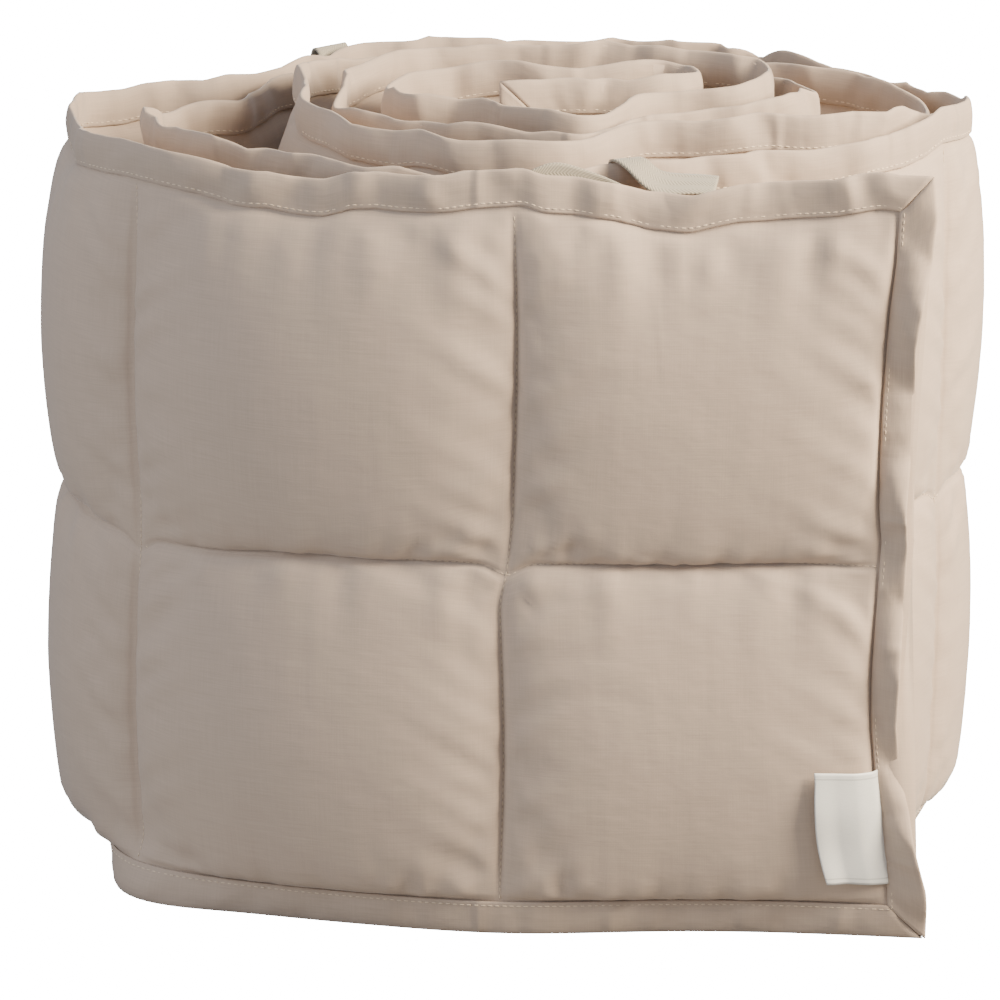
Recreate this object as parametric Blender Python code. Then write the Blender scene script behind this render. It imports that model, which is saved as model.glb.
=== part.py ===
"""A padded crib bumper, loosely rolled up and standing on its long edge.

One long quilted strip of cotton, two rows of square pads high, is wound into an oval spiral of five and
a half turns. A folded binding runs all round its edges, mitred at the corners. Short tape ties and a
bare side label are sewn on.

Metres, +Z up, the floor at z = 0. The front panel faces -Y, and its free end is at +X. The origin is
below the middle of the roll.
"""

import math
from collections import namedtuple

import bmesh
import bpy
import numpy as np

MM = 0.001

# Driving dimensions.
BINDING_DEPTH = 0.0135
BINDING_WALL = 0.0010
FABRIC_GAP = 0.0003
TONGUE_HALF = 0.0007
CELL_LENGTH = 0.1445
PAD_PUFF = 0.0145
PAD_CLEARANCE = 0.0012
END_PULL = 0.0080
END_PULL_SPAN = 0.12
TIE_THICKNESS = 0.0010
LABEL_THICKNESS = 0.0008
LABEL_LIFT = 0.0015

# Sizes that follow from them.
BINDING_INSIDE = TONGUE_HALF + FABRIC_GAP
BINDING_OUTSIDE = BINDING_INSIDE + BINDING_WALL
TONGUE_END = BINDING_WALL + FABRIC_GAP
SEAM_INSET = BINDING_DEPTH + 0.0010

# One row for each pass of the strip, from its outer free end to its inner one, as seen from above in mm.
# rim is the height of the top edge at the seams and sag how far it drops between two seams. a to f are
# points along the pass, and turn is the outermost point of the bend that ends it.
Pass = namedtuple("Pass", "rim sag a b c d e f turn")
PASSES = (
    Pass(300, 7, (159, -5), (125, -1), (62, 2), (4, 0), (-50, 9), (-100, 24), (-161, 118)),
    Pass(292, 4, (-146, 152), (-106, 174), (-72, 212), (0, 234), (78, 235), (132, 196), (184, 134)),
    Pass(298, 2, (170, 92), (142, 61), (95, 40), (30, 17), (-40, 19), (-92, 50), (-141, 106)),
    Pass(293, 4, (-128, 126), (-106, 138), (-90, 168), (-56, 200), (20, 213), (85, 204), (167, 118)),
    Pass(304, 1, (150, 82), (115, 67), (74, 63), (48, 57), (28, 33), (-12, 33), (-83, 138)),
    Pass(299, 3, (-71, 166), (-50, 183), (-10, 189), (30, 191), (66, 186), (97, 168), (127, 120)),
    Pass(303, 3, (112, 100), (90, 90), (67, 86), (49, 76), (31, 46), (5, 53), (-62, 108)),
    Pass(306, 1, (-54, 138), (-38, 157), (-10, 169), (20, 170), (52, 167), (80, 157), (103, 132)),
    Pass(304, 1, (90, 112), (70, 108), (51, 97), (35, 69), (20, 69), (2, 88), (-44, 114)),
    Pass(306, 2, (-34, 126), (-16, 138), (6, 140), (26, 138), (44, 141), (60, 146), (77, 135)),
    Pass(306, 2, (64, 123), (52, 121), (39, 120), (26, 118), (13, 114), (0, 110), None),
)
LEFT_SHOULDER = (-146, 58)

# Where a cell and a row of pads have their sections, as shares of its length, and the crown there.
CELL_STATIONS = (0.0, 0.10, 0.36, 0.64, 0.90, 1.0)
CROWN_SQUARENESS = 2.4
CROWN_FULLNESS = 0.60
LONGEST_STRIP = 0.060
SHARPEST_STRIP = math.radians(34)

# The tapes, each a row for one section: its near edge and its far edge, in the fold table's frame, mm.
TapeSection = namedtuple("TapeSection", "near far")
TIE_LOOP = (
    TapeSection((2, 3.2, 288.5), (2, 3.2, 297.0)),
    TapeSection((11, 4.4, 288.5), (11, 5.0, 299.5)),
    TapeSection((19, 5.8, 288.5), (19, 6.6, 302.0)),
    TapeSection((29, 7.2, 288.0), (29, 7.8, 300.0)),
    TapeSection((38, 7.8, 287.5), (38, 8.2, 296.5)),
    TapeSection((46, 7.4, 287.5), (46, 7.4, 293.0)),
)
TIE_STRAP = (
    TapeSection((40.0, 24.6, 291.0), (50.0, 27.8, 291.0)),
    TapeSection((40.3, 23.2, 297.8), (50.6, 26.6, 297.8)),
    TapeSection((41.5, 20.0, 299.4), (52.0, 23.6, 299.4)),
    TapeSection((44.8, 16.0, 298.8), (54.5, 21.4, 298.9)),
    TapeSection((49.5, 11.2, 295.6), (58.5, 20.2, 295.8)),
    TapeSection((56.0, 7.0, 291.0), (65.0, 20.0, 294.2)),
    TapeSection((68.0, 6.8, 290.2), (74.0, 20.5, 293.6)),
    TapeSection((79.0, 7.2, 289.8), (81.0, 19.5, 293.2)),
)

# The tie at the back stands up behind the rim and hangs down over the pad: its distance out, and height.
TapeStep = namedtuple("TapeStep", "out height")
TIE_BACK_PLACE = (-67, 216)
TIE_BACK_HALF_WIDTH = 0.0070
TIE_BACK_FREE_HEIGHTS = (0.2780, 0.2620, 0.2450)
TIE_BACK_CLEARANCE = 0.0020
TIE_BACK = (
    TapeStep(0.0031, 0.2800),
    TapeStep(0.0032, 0.2890),
    TapeStep(0.0043, 0.2965),
    TapeStep(0.0068, 0.2975),
    TapeStep(0.0090, 0.2930),
)

LABEL_FROM_END = 0.0142
LABEL_WIDTH = 0.0240
LABEL_LOW = 0.0215
LABEL_HIGH = 0.0640

COTTON = (0.535, 0.452, 0.380, 1.0)
COTTON_INSIDE = (0.500, 0.420, 0.352, 1.0)
TAPE = (0.520, 0.480, 0.410, 1.0)
LABEL_WHITE = (0.800, 0.800, 0.780, 1.0)


def route_points():
    """The points of the fold table in order, in metres, with the rim height and the sag at each."""
    points = []
    rims = []
    for row in PASSES:
        stops = [row.a, row.b, row.c, row.d, row.e, row.f]
        if row is PASSES[0]:
            stops.append(LEFT_SHOULDER)
        if row.turn:
            stops.append(row.turn)
        points += stops
        rims += [(row.rim, row.sag)] * len(stops)
    return np.array(points) * MM, np.array(rims) * MM


def spline_slopes(knots, values):
    """The slopes at the knots of the natural cubic spline through the values."""
    gaps = np.diff(knots)
    rises = np.diff(values, axis=0) / gaps[:, None]
    count = len(knots)
    matrix = np.zeros((count, count))
    right = np.zeros_like(values)
    matrix[0, :2] = 2, 1
    matrix[-1, -2:] = 1, 2
    right[0] = 3 * rises[0]
    right[-1] = 3 * rises[-1]
    for i in range(1, count - 1):
        matrix[i, i - 1 : i + 2] = gaps[i], 2 * (gaps[i - 1] + gaps[i]), gaps[i - 1]
        right[i] = 3 * (gaps[i] * rises[i - 1] + gaps[i - 1] * rises[i])
    return np.linalg.solve(matrix, right)


class Route:
    """The line of the rolled strip in plan, a smooth curve measured by its length from the outer end."""

    STEPS = 24

    def __init__(self):
        stops, rims = route_points()
        knots = np.concatenate([[0], np.cumsum(np.linalg.norm(np.diff(stops, axis=0), axis=1))])
        slopes = spline_slopes(knots, stops)
        share = np.linspace(0, 1, self.STEPS, endpoint=False)[:, None]
        pieces = []
        for i in range(len(stops) - 1):
            gap = knots[i + 1] - knots[i]
            pieces.append(
                (2 * share**3 - 3 * share**2 + 1) * stops[i]
                + (share**3 - 2 * share**2 + share) * gap * slopes[i]
                + (3 * share**2 - 2 * share**3) * stops[i + 1]
                + (share**3 - share**2) * gap * slopes[i + 1]
            )
        pieces.append(stops[-1:])
        self.points = np.concatenate(pieces)
        steps = np.linalg.norm(np.diff(self.points, axis=0), axis=1)
        self.lengths = np.concatenate([[0], np.cumsum(steps)])
        self.cells = round((self.lengths[-1] - 2 * SEAM_INSET) / CELL_LENGTH)
        self.cell = (self.lengths[-1] - 2 * SEAM_INSET) / self.cells
        self.length = self.lengths[-1]
        directions = np.gradient(self.points, self.lengths, axis=0)
        self.directions = directions / np.linalg.norm(directions, axis=1)[:, None]
        self.rim_knots = self.lengths[:: self.STEPS]
        self.rims = rims
        self.rooms = np.array([[self.room_at(i, side) for side in (1, -1)] for i in range(len(self.points))])
        self.middle = np.zeros(2)

    def room_at(self, i, side):
        """The largest circle that touches the line at this point and meets it nowhere else, by radius."""
        dx, dy = self.directions[i]
        normal = np.array([-dy, dx]) * side
        away = self.points - self.points[i]
        ahead = away @ normal
        facing = ahead > 1e-6
        if not facing.any():
            return 1.0
        radii = (away[facing] ** 2).sum(axis=1) / (2 * ahead[facing])
        return float(min(radii.min(), 1.0))

    def place(self, along):
        return np.array([np.interp(along, self.lengths, self.points[:, axis]) for axis in (0, 1)])

    def normal(self, along):
        """The unit vector out of the roll's outer face."""
        dx, dy = (np.interp(along, self.lengths, self.directions[:, axis]) for axis in (0, 1))
        size = math.hypot(dx, dy)
        return np.array([-dy, dx]) / size

    def turning(self, start, end):
        a, b = self.normal(start), self.normal(end)
        return math.acos(max(-1.0, min(1.0, float(a @ b))))

    def point(self, along, out, height):
        plan = self.place(along) + self.normal(along) * out - self.middle
        return (plan[0], plan[1], height)

    def cell_share(self, along):
        """How far through its cell this length is, from 0 to 1."""
        run = min(max((along - SEAM_INSET) / self.cell, 0.0), self.cells - 1e-6)
        return run - int(run)

    def rim(self, along):
        share = self.cell_share(along)
        rim, sag = (float(np.interp(along, self.rim_knots, self.rims[:, i])) for i in (0, 1))
        return rim - sag * math.sin(math.pi * share) ** 2

    def columns(self):
        """Lengths along the strip where the pads have a section, closer together in the bends."""
        stops = [SEAM_INSET + self.cell * (i + share) for i in range(self.cells) for share in CELL_STATIONS[:-1]]
        stops.append(self.length - SEAM_INSET)
        found = [stops[0]]
        for start, end in zip(stops, stops[1:]):
            parts = max(
                math.ceil((end - start) / LONGEST_STRIP),
                math.ceil(self.turning(start, end) / SHARPEST_STRIP),
                1,
            )
            found += [start + (end - start) * (i + 1) / parts for i in range(parts)]
        return found


def crown(share):
    """The height of a pad's crown at this share of its side, on the straight runs between its sections."""
    stations = np.array(CELL_STATIONS)
    heights = (1 - np.abs(2 * stations - 1) ** CROWN_SQUARENESS) ** CROWN_FULLNESS
    return float(np.interp(share, stations, heights))


def row_share(route, along, height):
    """How far up its row of pads this height is, from 0 to 1. The middle channel is halfway up."""
    low, high = SEAM_INSET, route.rim(along) - SEAM_INSET
    run = min(max((height - low) / (high - low) * 2, 0.0), 2 - 1e-6)
    return run - int(run)


def pad_reach(route, along, height, side):
    """How far the pad stands out of the strip's line: crowned, and flattened where the next turn is near."""
    share = route.cell_share(along)
    puff = PAD_PUFF * crown(share) * crown(row_share(route, along, height))
    room = float(np.interp(along, route.lengths, route.rooms[:, 0 if side > 0 else 1]))
    return TONGUE_HALF + max(min(puff, room - PAD_CLEARANCE - TONGUE_HALF), 0.0)


def end_pull(route, along, height):
    """How far the pads draw the free ends in, most at mid-height and nothing past the end cells."""
    share = (height - SEAM_INSET) / (route.rim(along) - 2 * SEAM_INSET)
    bow = math.sin(math.pi * min(max(share, 0.0), 1.0))
    from_start = max(1 - along / END_PULL_SPAN, 0.0)
    from_end = max(1 - (route.length - along) / END_PULL_SPAN, 0.0)
    return END_PULL * bow * (from_start - from_end)


def pulled_point(route, along, out, height):
    return route.point(along + end_pull(route, along, height), out, height)


def shell_material(name, colour, roughness):
    material = bpy.data.materials.new(name)
    material.use_nodes = True
    shader = material.node_tree.nodes["Principled BSDF"]
    shader.inputs["Base Color"].default_value = colour
    shader.inputs["Roughness"].default_value = roughness
    shader.inputs["Metallic"].default_value = 0.0
    material.diffuse_color = colour
    return material


def loft(collection, name, rings, cap_quads, material):
    """One closed body through the rings. cap_quads split an end section into four-sided faces."""
    mesh = bpy.data.meshes.new(name)
    shape = bmesh.new()
    loops = [[shape.verts.new(point) for point in ring] for ring in rings]
    size = len(rings[0])
    for near, far in zip(loops, loops[1:]):
        for i in range(size):
            j = (i + 1) % size
            shape.faces.new((near[i], near[j], far[j], far[i]))
    for quad in cap_quads:
        shape.faces.new([loops[0][i] for i in reversed(quad)])
        shape.faces.new([loops[-1][i] for i in quad])
    bmesh.ops.triangulate(shape, faces=shape.faces)
    bmesh.ops.recalc_face_normals(shape, faces=shape.faces)
    shape.to_mesh(mesh)
    shape.free()
    mesh.materials.append(material)
    mesh.shade_smooth()
    body = bpy.data.objects.new(name, mesh)
    collection.objects.link(body)
    return body


def row_heights(route, along):
    """The heights of the pads' sections at this length, with the edges that the bindings hold."""
    low, high = SEAM_INSET, route.rim(along) - SEAM_INSET
    half = (high - low) / 2
    lower = [low + half * share for share in CELL_STATIONS]
    upper = [low + half * (1 + share) for share in CELL_STATIONS[1:]]
    return [TONGUE_END] + lower + upper + [route.rim(along) - TONGUE_END]


def pad_section(route, along, is_edge):
    """A closed section of the quilted strip: up its outer face and down its inner one."""
    heights = row_heights(route, along)
    outer = []
    inner = []
    for height in heights:
        out = TONGUE_HALF if is_edge else pad_reach(route, along, height, 1)
        back = TONGUE_HALF if is_edge else pad_reach(route, along, height, -1)
        outer.append(pulled_point(route, along, out, height))
        inner.append(pulled_point(route, along, -back, height))
    return outer + inner[::-1]


def make_quilt(collection, route, columns, material):
    """The filled strip itself, with its crowned pads, sewn channels and thin edges."""
    sections = [pad_section(route, TONGUE_END, True)]
    sections += [pad_section(route, along, False) for along in columns]
    sections.append(pad_section(route, route.length - TONGUE_END, True))
    size = len(sections[0])
    caps = [(i, i + 1, size - 2 - i, size - 1 - i) for i in range(size // 2 - 1)]
    return loft(collection, "quilt_panel", sections, caps, material)


# Round a folded binding's section: distance out, and depth from its fold as a share of a wall or of all.
FOLD_SECTION = (
    (BINDING_OUTSIDE, BINDING_DEPTH),
    (BINDING_OUTSIDE, 0.0),
    (-BINDING_OUTSIDE, 0.0),
    (-BINDING_OUTSIDE, BINDING_DEPTH),
    (-BINDING_INSIDE, BINDING_DEPTH),
    (-BINDING_INSIDE, BINDING_WALL),
    (BINDING_INSIDE, BINDING_WALL),
    (BINDING_INSIDE, BINDING_DEPTH),
)
FOLD_CAPS = ((0, 1, 6, 7), (1, 2, 5, 6), (2, 3, 4, 5))


def make_long_binding(collection, name, route, columns, material, at_top):
    """The folded strip along one long edge, cut on the mitre at both ends."""
    rings = []
    half_gap = FABRIC_GAP / 2
    for along in [0.0] + columns + [route.length]:
        slant = 1 if along == 0.0 else -1 if along == route.length else 0
        ring = []
        for out, depth in FOLD_SECTION:
            where = along + slant * (depth + half_gap)
            height = route.rim(along) - depth if at_top else depth
            ring.append(route.point(where, out, height))
        rings.append(ring)
    return loft(collection, name, rings, FOLD_CAPS, material)


def make_end_binding(collection, name, route, material, at_start):
    """The folded strip up one free end, cut on the mitre at both ends and drawn in by the pads."""
    fold_at = 0.0 if at_start else route.length
    inwards = 1 if at_start else -1
    rim = route.rim(fold_at)
    half_gap = FABRIC_GAP / 2
    middle_heights = [height for height in row_heights(route, fold_at)[1:-1]]
    rings = []
    for height in [0.0] + middle_heights + [rim]:
        slant = 1 if height == 0.0 else -1 if height == rim else 0
        ring = []
        for out, depth in FOLD_SECTION:
            level = height + slant * (depth + half_gap)
            along = fold_at + end_pull(route, fold_at, height) + inwards * depth
            ring.append(route.point(along, out, level))
        rings.append(ring)
    return loft(collection, name, rings, FOLD_CAPS, material)


def ribbon(collection, name, edges, thickness, material):
    """A flat tape through pairs of edge points, with its thickness square to it."""
    near = np.array([pair[0] for pair in edges])
    far = np.array([pair[1] for pair in edges])
    runs = np.gradient((near + far) / 2, axis=0)
    squares = np.cross(runs, far - near)
    squares = squares / np.linalg.norm(squares, axis=1)[:, None] * thickness / 2
    rings = [(a + q, b + q, b - q, a - q) for a, b, q in zip(near, far, squares)]
    return loft(collection, name, rings, [(0, 1, 2, 3)], material)


def table_point(route, place):
    """A point of a tape table, given in mm in the fold table's frame."""
    x, y, z = (value * MM for value in place)
    return np.array([x - route.middle[0], y - route.middle[1], z])


def make_table_tie(collection, name, route, sections, material):
    edges = [(table_point(route, row.near), table_point(route, row.far)) for row in sections]
    return ribbon(collection, name, edges, TIE_THICKNESS, material)


def make_back_tie(collection, route, material):
    """The tape behind the back rim, hanging down over the pad below it."""
    place = np.array(TIE_BACK_PLACE) * MM
    centre = route.lengths[np.argmin(np.linalg.norm(route.points - place, axis=1))]
    sides = (centre - TIE_BACK_HALF_WIDTH, centre + TIE_BACK_HALF_WIDTH)
    steps = list(TIE_BACK)
    for height in TIE_BACK_FREE_HEIGHTS:
        out = max(pad_reach(route, along, height, 1) for along in sides) + TIE_BACK_CLEARANCE
        steps.append(TapeStep(out, height))
    edges = [[np.array(route.point(along, step.out, step.height)) for along in sides] for step in steps]
    return ribbon(collection, "tie_back", edges, TIE_THICKNESS, material)


def make_label(collection, route, material):
    """The bare label, tucked against the end binding and lying over the lower corner pad."""
    shares = np.linspace(0, 1, 6)
    heights = LABEL_LOW + shares * (LABEL_HIGH - LABEL_LOW)
    rings = []
    for share in np.linspace(0, 1, 5):
        along = LABEL_FROM_END + share * LABEL_WIDTH
        outs = [pad_reach(route, along, height, 1) + LABEL_LIFT for height in heights]
        front = [pulled_point(route, along, out + LABEL_THICKNESS, h) for out, h in zip(outs, heights)]
        back = [pulled_point(route, along, out, height) for out, height in zip(outs, heights)]
        rings.append(front + back[::-1])
    size = len(rings[0])
    caps = [(i, i + 1, size - 2 - i, size - 1 - i) for i in range(size // 2 - 1)]
    return loft(collection, "side_label", rings, caps, material)


def clear_scene():
    for item in list(bpy.data.objects):
        bpy.data.objects.remove(item, do_unlink=True)


def centre_route(route, columns):
    """Puts the origin below the middle of the roll, by the widest points of its pads."""
    around = np.array([point[:2] for along in columns for point in pad_section(route, along, False)])
    route.middle = (around.min(axis=0) + around.max(axis=0)) / 2


def main():
    clear_scene()
    collection = bpy.data.collections.new("crib_bumper")
    bpy.context.scene.collection.children.link(collection)
    route = Route()
    columns = route.columns()
    centre_route(route, columns)
    cotton = shell_material("quilt_cotton", COTTON, 0.85)
    binding = shell_material("binding_cotton", COTTON_INSIDE, 0.80)
    tape = shell_material("tie_tape", TAPE, 0.90)
    satin = shell_material("label_satin", LABEL_WHITE, 0.45)
    make_quilt(collection, route, columns, cotton)
    make_long_binding(collection, "binding_top", route, columns, binding, True)
    make_long_binding(collection, "binding_bottom", route, columns, binding, False)
    make_end_binding(collection, "binding_outer_end", route, binding, True)
    make_end_binding(collection, "binding_inner_end", route, binding, False)
    make_table_tie(collection, "tie_loop", route, TIE_LOOP, tape)
    make_table_tie(collection, "tie_strap", route, TIE_STRAP, tape)
    make_back_tie(collection, route, tape)
    make_label(collection, route, satin)


main()
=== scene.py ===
"""A padded crib bumper, loosely rolled up and standing on its long edge, dressed for a studio picture.

The frame holds the roll's plain solids. This script makes what is seen in their place: the quilted strip with
its full pads and puckered seams, the folded bindings, every stitch, the tape ties and the bare side label, and
then the studio. It is laid out as an add-on and run as a script.
"""

import math
from collections import namedtuple
from functools import lru_cache

import bmesh
import bpy
import numpy as np
from bpy.props import FloatProperty, FloatVectorProperty, IntProperty, PointerProperty
from mathutils import Matrix, Vector


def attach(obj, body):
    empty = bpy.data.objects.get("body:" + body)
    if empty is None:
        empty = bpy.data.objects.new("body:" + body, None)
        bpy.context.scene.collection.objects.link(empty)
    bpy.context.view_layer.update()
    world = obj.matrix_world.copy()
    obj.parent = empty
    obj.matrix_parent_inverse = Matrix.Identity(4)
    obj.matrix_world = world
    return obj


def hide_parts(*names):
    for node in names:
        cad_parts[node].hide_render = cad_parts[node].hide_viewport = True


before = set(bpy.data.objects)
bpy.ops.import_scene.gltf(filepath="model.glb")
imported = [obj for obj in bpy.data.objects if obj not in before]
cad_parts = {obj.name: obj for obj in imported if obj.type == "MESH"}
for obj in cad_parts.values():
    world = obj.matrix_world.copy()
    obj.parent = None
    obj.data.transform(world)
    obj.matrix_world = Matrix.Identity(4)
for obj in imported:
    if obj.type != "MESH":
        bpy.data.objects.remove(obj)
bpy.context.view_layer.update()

bl_info = {
    "name": "Crib Bumper Looks",
    "version": (1, 0, 0),
    "blender": (4, 5, 0),
    "location": "View3D > Sidebar > Bumper",
    "description": "Quilting, bindings, thread, ties, label and studio for a rolled crib bumper",
    "category": "Object",
}

MM = 0.001
BODY = "root"


def table(name, fields, *rows):
    """Rows of numbers with these fields."""
    kind = namedtuple(name, fields)
    return tuple(kind(*row) for row in rows)


# The roll, as the solids have it, pass by pass from the outside in, in mm. First stand the height of the top edge
# at the seams and how far it drops between two seams, then points of the route seen from above.
PASSES = (
    (300, 7, (159, -5), (125, -1), (62, 2), (4, 0), (-50, 9), (-100, 24), (-146, 58), (-161, 118)),
    (292, 4, (-146, 152), (-106, 174), (-72, 212), (0, 234), (78, 235), (132, 196), (184, 134)),
    (298, 2, (170, 92), (142, 61), (95, 40), (30, 17), (-40, 19), (-92, 50), (-141, 106)),
    (293, 4, (-128, 126), (-106, 138), (-90, 168), (-56, 200), (20, 213), (85, 204), (167, 118)),
    (304, 1, (150, 82), (115, 67), (74, 63), (48, 57), (28, 33), (-12, 33), (-83, 138)),
    (299, 3, (-71, 166), (-50, 183), (-10, 189), (30, 191), (66, 186), (97, 168), (127, 120)),
    (303, 3, (112, 100), (90, 90), (67, 86), (49, 76), (31, 46), (5, 53), (-62, 108)),
    (306, 1, (-54, 138), (-38, 157), (-10, 169), (20, 170), (52, 167), (80, 157), (103, 132)),
    (304, 1, (90, 112), (70, 108), (51, 97), (35, 69), (20, 69), (2, 88), (-44, 114)),
    (306, 2, (-34, 126), (-16, 138), (6, 140), (26, 138), (44, 141), (60, 146), (77, 135)),
    (306, 2, (64, 123), (52, 121), (39, 120), (26, 118), (13, 114), (0, 110)),
)
ROUTE_MIDDLE = (10.982, 120.165)

# The strip inside the bindings: half its thickness, and how far its raw edges lie inside the folds.
TONGUE_HALF = 0.7 * MM
TONGUE_END = 1.3 * MM
# How much of the strip the pull of a free end reaches, and about how long a pad is.
END_PULL_SPAN = 0.12
CELL_LENGTH = 0.1445
# The room that the soft top edge leaves to the next turn, and how far it leans at the most.
EDGE_CLEARANCE = 3.6 * MM
EDGE_SWAY = 3.5 * MM
# How far an upright seam may lie past its even place, in mm, and how far its line wanders.
SEAM_SPREAD = 1.6
SEAM_WANDER = 0.8 * MM

# Creases pressed into the top edge where it was folded or squeezed: the length along the strip, how far the
# edge stands out and drops there in mm, and half its width in mm.
RIM_CREASES = table(
    "RimCrease", "along out drop half_width",
    (0.012, -0.8, 1.0, 6), (0.036, 1.6, 0.6, 9), (0.062, -1.4, 0.6, 8), (0.088, 1.0, 1.5, 13),
    (0.105, 0.8, 1.3, 13), (0.150, -0.8, -1.0, 5), (0.215, 0.0, -4.2, 24), (0.262, 1.0, 0.6, 12),
    (0.345, 2.0, -1.0, 7), (0.398, -1.6, -1.2, 5), (0.447, 1.8, 0.8, 7), (0.522, -2.2, 1.4, 5),
    (0.566, 1.6, -1.4, 6), (0.598, -1.8, 0.8, 5), (0.640, 2.0, -1.2, 7), (0.664, 0.0, -3.4, 17),
    (0.688, -2.6, 1.0, 5), (0.702, 1.6, 5.5, 8), (0.742, -1.6, 2.4, 18), (0.777, 2.4, -1.6, 5),
    (0.792, -2.0, 0.6, 5), (0.838, 1.4, -0.8, 8), (0.905, -1.0, 0.6, 9), (0.968, 1.0, 0.5, 9),
    (1.118, -1.4, 0.8, 9), (1.166, 1.6, 1.2, 7), (1.205, -1.4, -0.6, 6), (1.236, 2.0, -1.2, 5),
    (1.292, -2.2, 1.2, 7), (1.364, 1.6, -1.0, 6), (1.432, -1.6, 0.8, 8), (1.522, 2.0, 1.4, 6),
    (1.585, -1.6, 0.8, 9), (1.655, 1.8, -1.2, 6), (1.742, -1.2, 0.6, 10), (1.915, 1.6, 0.8, 9),
    (1.968, -2.0, -0.8, 6), (2.044, 1.8, -1.2, 6), (2.086, -2.2, 1.0, 4), (2.104, 1.8, -1.0, 4),
    (2.148, -1.6, 0.6, 6), (2.232, 1.8, 0.8, 8), (2.281, -1.4, -1.0, 5), (2.455, 1.4, 0.8, 8),
    (2.537, -1.6, -1.0, 5), (2.588, 1.8, 0.6, 6), (2.652, -1.6, -1.0, 7), (2.742, 1.6, -1.4, 4),
    (2.925, -1.6, -1.6, 4), (2.968, 1.6, 0.8, 6), (3.064, -1.6, -1.4, 4),
)

# How the upright seams wander: how far along the strip each lies past its even place, in mm, in its lower and
# its upper half.
SEAM_LINES = ((2.4, -2.6), (8.5, 6.5), (1.5, -1.0), (-1.2, 0.8), (0.9, -1.4))

# Where the strip is squeezed on its bends: the length along it, half the width of the place, how much of the
# pads' puff is left, and in mm how far the lowest cloth is tucked in, how far the foot and the head of the strip
# lean out, how far the rim rises and how much lower the pads hang over the bottom binding.
SQUEEZES = table(
    "Squeeze", "along half_width puff tuck foot head rise hang",
    (0.306, 0.034, 1.00, -11.5, 0.0, 0.0, 0.0, 0.0), (0.372, 0.037, 0.96, 33.0, 0.0, 0.0, 0.5, 20.0),
    (0.400, 0.018, 1.00, 0.0, 0.0, 5.5, 1.5, 0.0), (0.512, 0.045, 1.00, 0.0, 0.0, 0.0, 3.0, 0.0),
    (0.825, 0.055, 0.66, 9.0, -9.5, -4.0, 3.0, 22.0), (0.905, 0.040, 0.95, 7.0, -3.0, 0.0, 0.0, 20.0),
    (1.245, 0.050, 1.00, 12.0, -3.0, -9.0, 0.0, 0.0), (1.640, 0.060, 1.00, 9.0, -3.0, -2.0, 0.0, 0.0),
    (1.995, 0.040, 1.00, 0.0, 0.0, -6.5, 3.0, 0.0), (2.270, 0.040, 1.00, 0.0, 0.0, -7.0, 0.0, 0.0),
)
# How high up the strip the tucks reach, and the small tuck of the foot that runs all along.
TUCK_REACH = 0.025
FOOT_TUCK = 1.5 * MM
FOOT_REACH = 0.018

# The outer free end, by height in mm: how far its stitches stand out to the end's side, how far its folded edge
# does besides, and how far that edge leans forward.
END_BENDS = table(
    "EndBend", "height stitch fold forward",
    (0, 1.2, 0.9, 0.0), (21, 2.0, 1.0, 2.0), (40, 1.0, -0.9, 4.0), (53, 1.0, -2.4, 0.5), (66, 0.0, -4.4, -3.8),
    (86, -0.6, -3.6, 1.0), (106, 0.2, -2.2, 3.4), (134, 2.8, -3.4, -2.4), (159, 4.4, -3.5, 1.8),
    (171, 3.0, -3.0, 3.0), (192, 2.3, -2.0, -2.0), (215, 1.8, -1.5, -2.6), (235, 1.6, -2.5, 3.2),
    (250, 1.6, -1.3, 3.8), (267, 2.3, -0.8, -2.0), (285, 1.6, 0.0, 0.0), (300, 0.0, 0.0, 0.0),
)

# Soft folds on the outer face of the pads: where their middle is, along the strip and up it in mm, how they lie
# in degrees from level, their length and width in mm, and their depth, which is below 0 for a ridge.
PAD_FOLDS = table(
    "PadFold", "along height slope length width depth",
    (95, 268, 80, 14, 4.0, -0.9), (82, 266, 75, 16, 4.0, -1.0), (66, 270, 85, 12, 3.5, -0.9),
    (50, 272, 78, 12, 3.5, -0.8), (36, 274, 70, 12, 3.5, -0.9), (90, 262, 70, 16, 3.5, 0.9),
    (74, 268, 95, 12, 3.0, 0.8), (138, 276, 65, 10, 3.0, -0.8), (82, 247, 6, 22, 1.4, 0.5),
    (97, 262, 12, 14, 1.6, 0.6), (30, 215, 20, 16, 3.0, 0.7), (27, 190, -15, 14, 3.0, 0.7),
    (28, 160, 10, 12, 2.5, 0.6), (190, 272, 85, 12, 3.5, -0.9), (203, 262, 70, 14, 4.0, -1.0),
    (262, 280, 80, 12, 4.0, -1.1), (283, 286, 75, 12, 3.5, -1.0), (292, 238, 48, 22, 4.0, 1.3),
    (289, 222, 45, 24, 4.0, 1.2), (287, 198, 42, 26, 4.5, 1.3), (291, 176, 40, 20, 3.5, 1.2),
    (293, 163, 42, 16, 2.6, 1.5), (314, 166, -45, 16, 3.0, 1.2), (294, 143, 25, 18, 2.6, 1.6),
    (316, 146, 35, 14, 3.0, 1.2), (318, 100, 35, 24, 4.0, 1.2), (317, 84, 35, 22, 4.0, 1.0),
    (289, 92, 30, 20, 4.0, 0.9), (160, 156, 70, 12, 2.2, 1.4), (148, 136, -60, 14, 2.6, 1.3),
    (164, 137, 60, 14, 2.6, 1.2), (149, 158, -72, 12, 2.2, 1.2), (128, 112, 12, 30, 6.0, 0.8),
    (118, 98, -8, 26, 5.0, 0.6), (166, 60, 8, 20, 4.0, 0.8), (168, 215, 4, 20, 5.0, 0.6),
    (169, 190, -6, 18, 5.0, 0.6),
)

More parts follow.
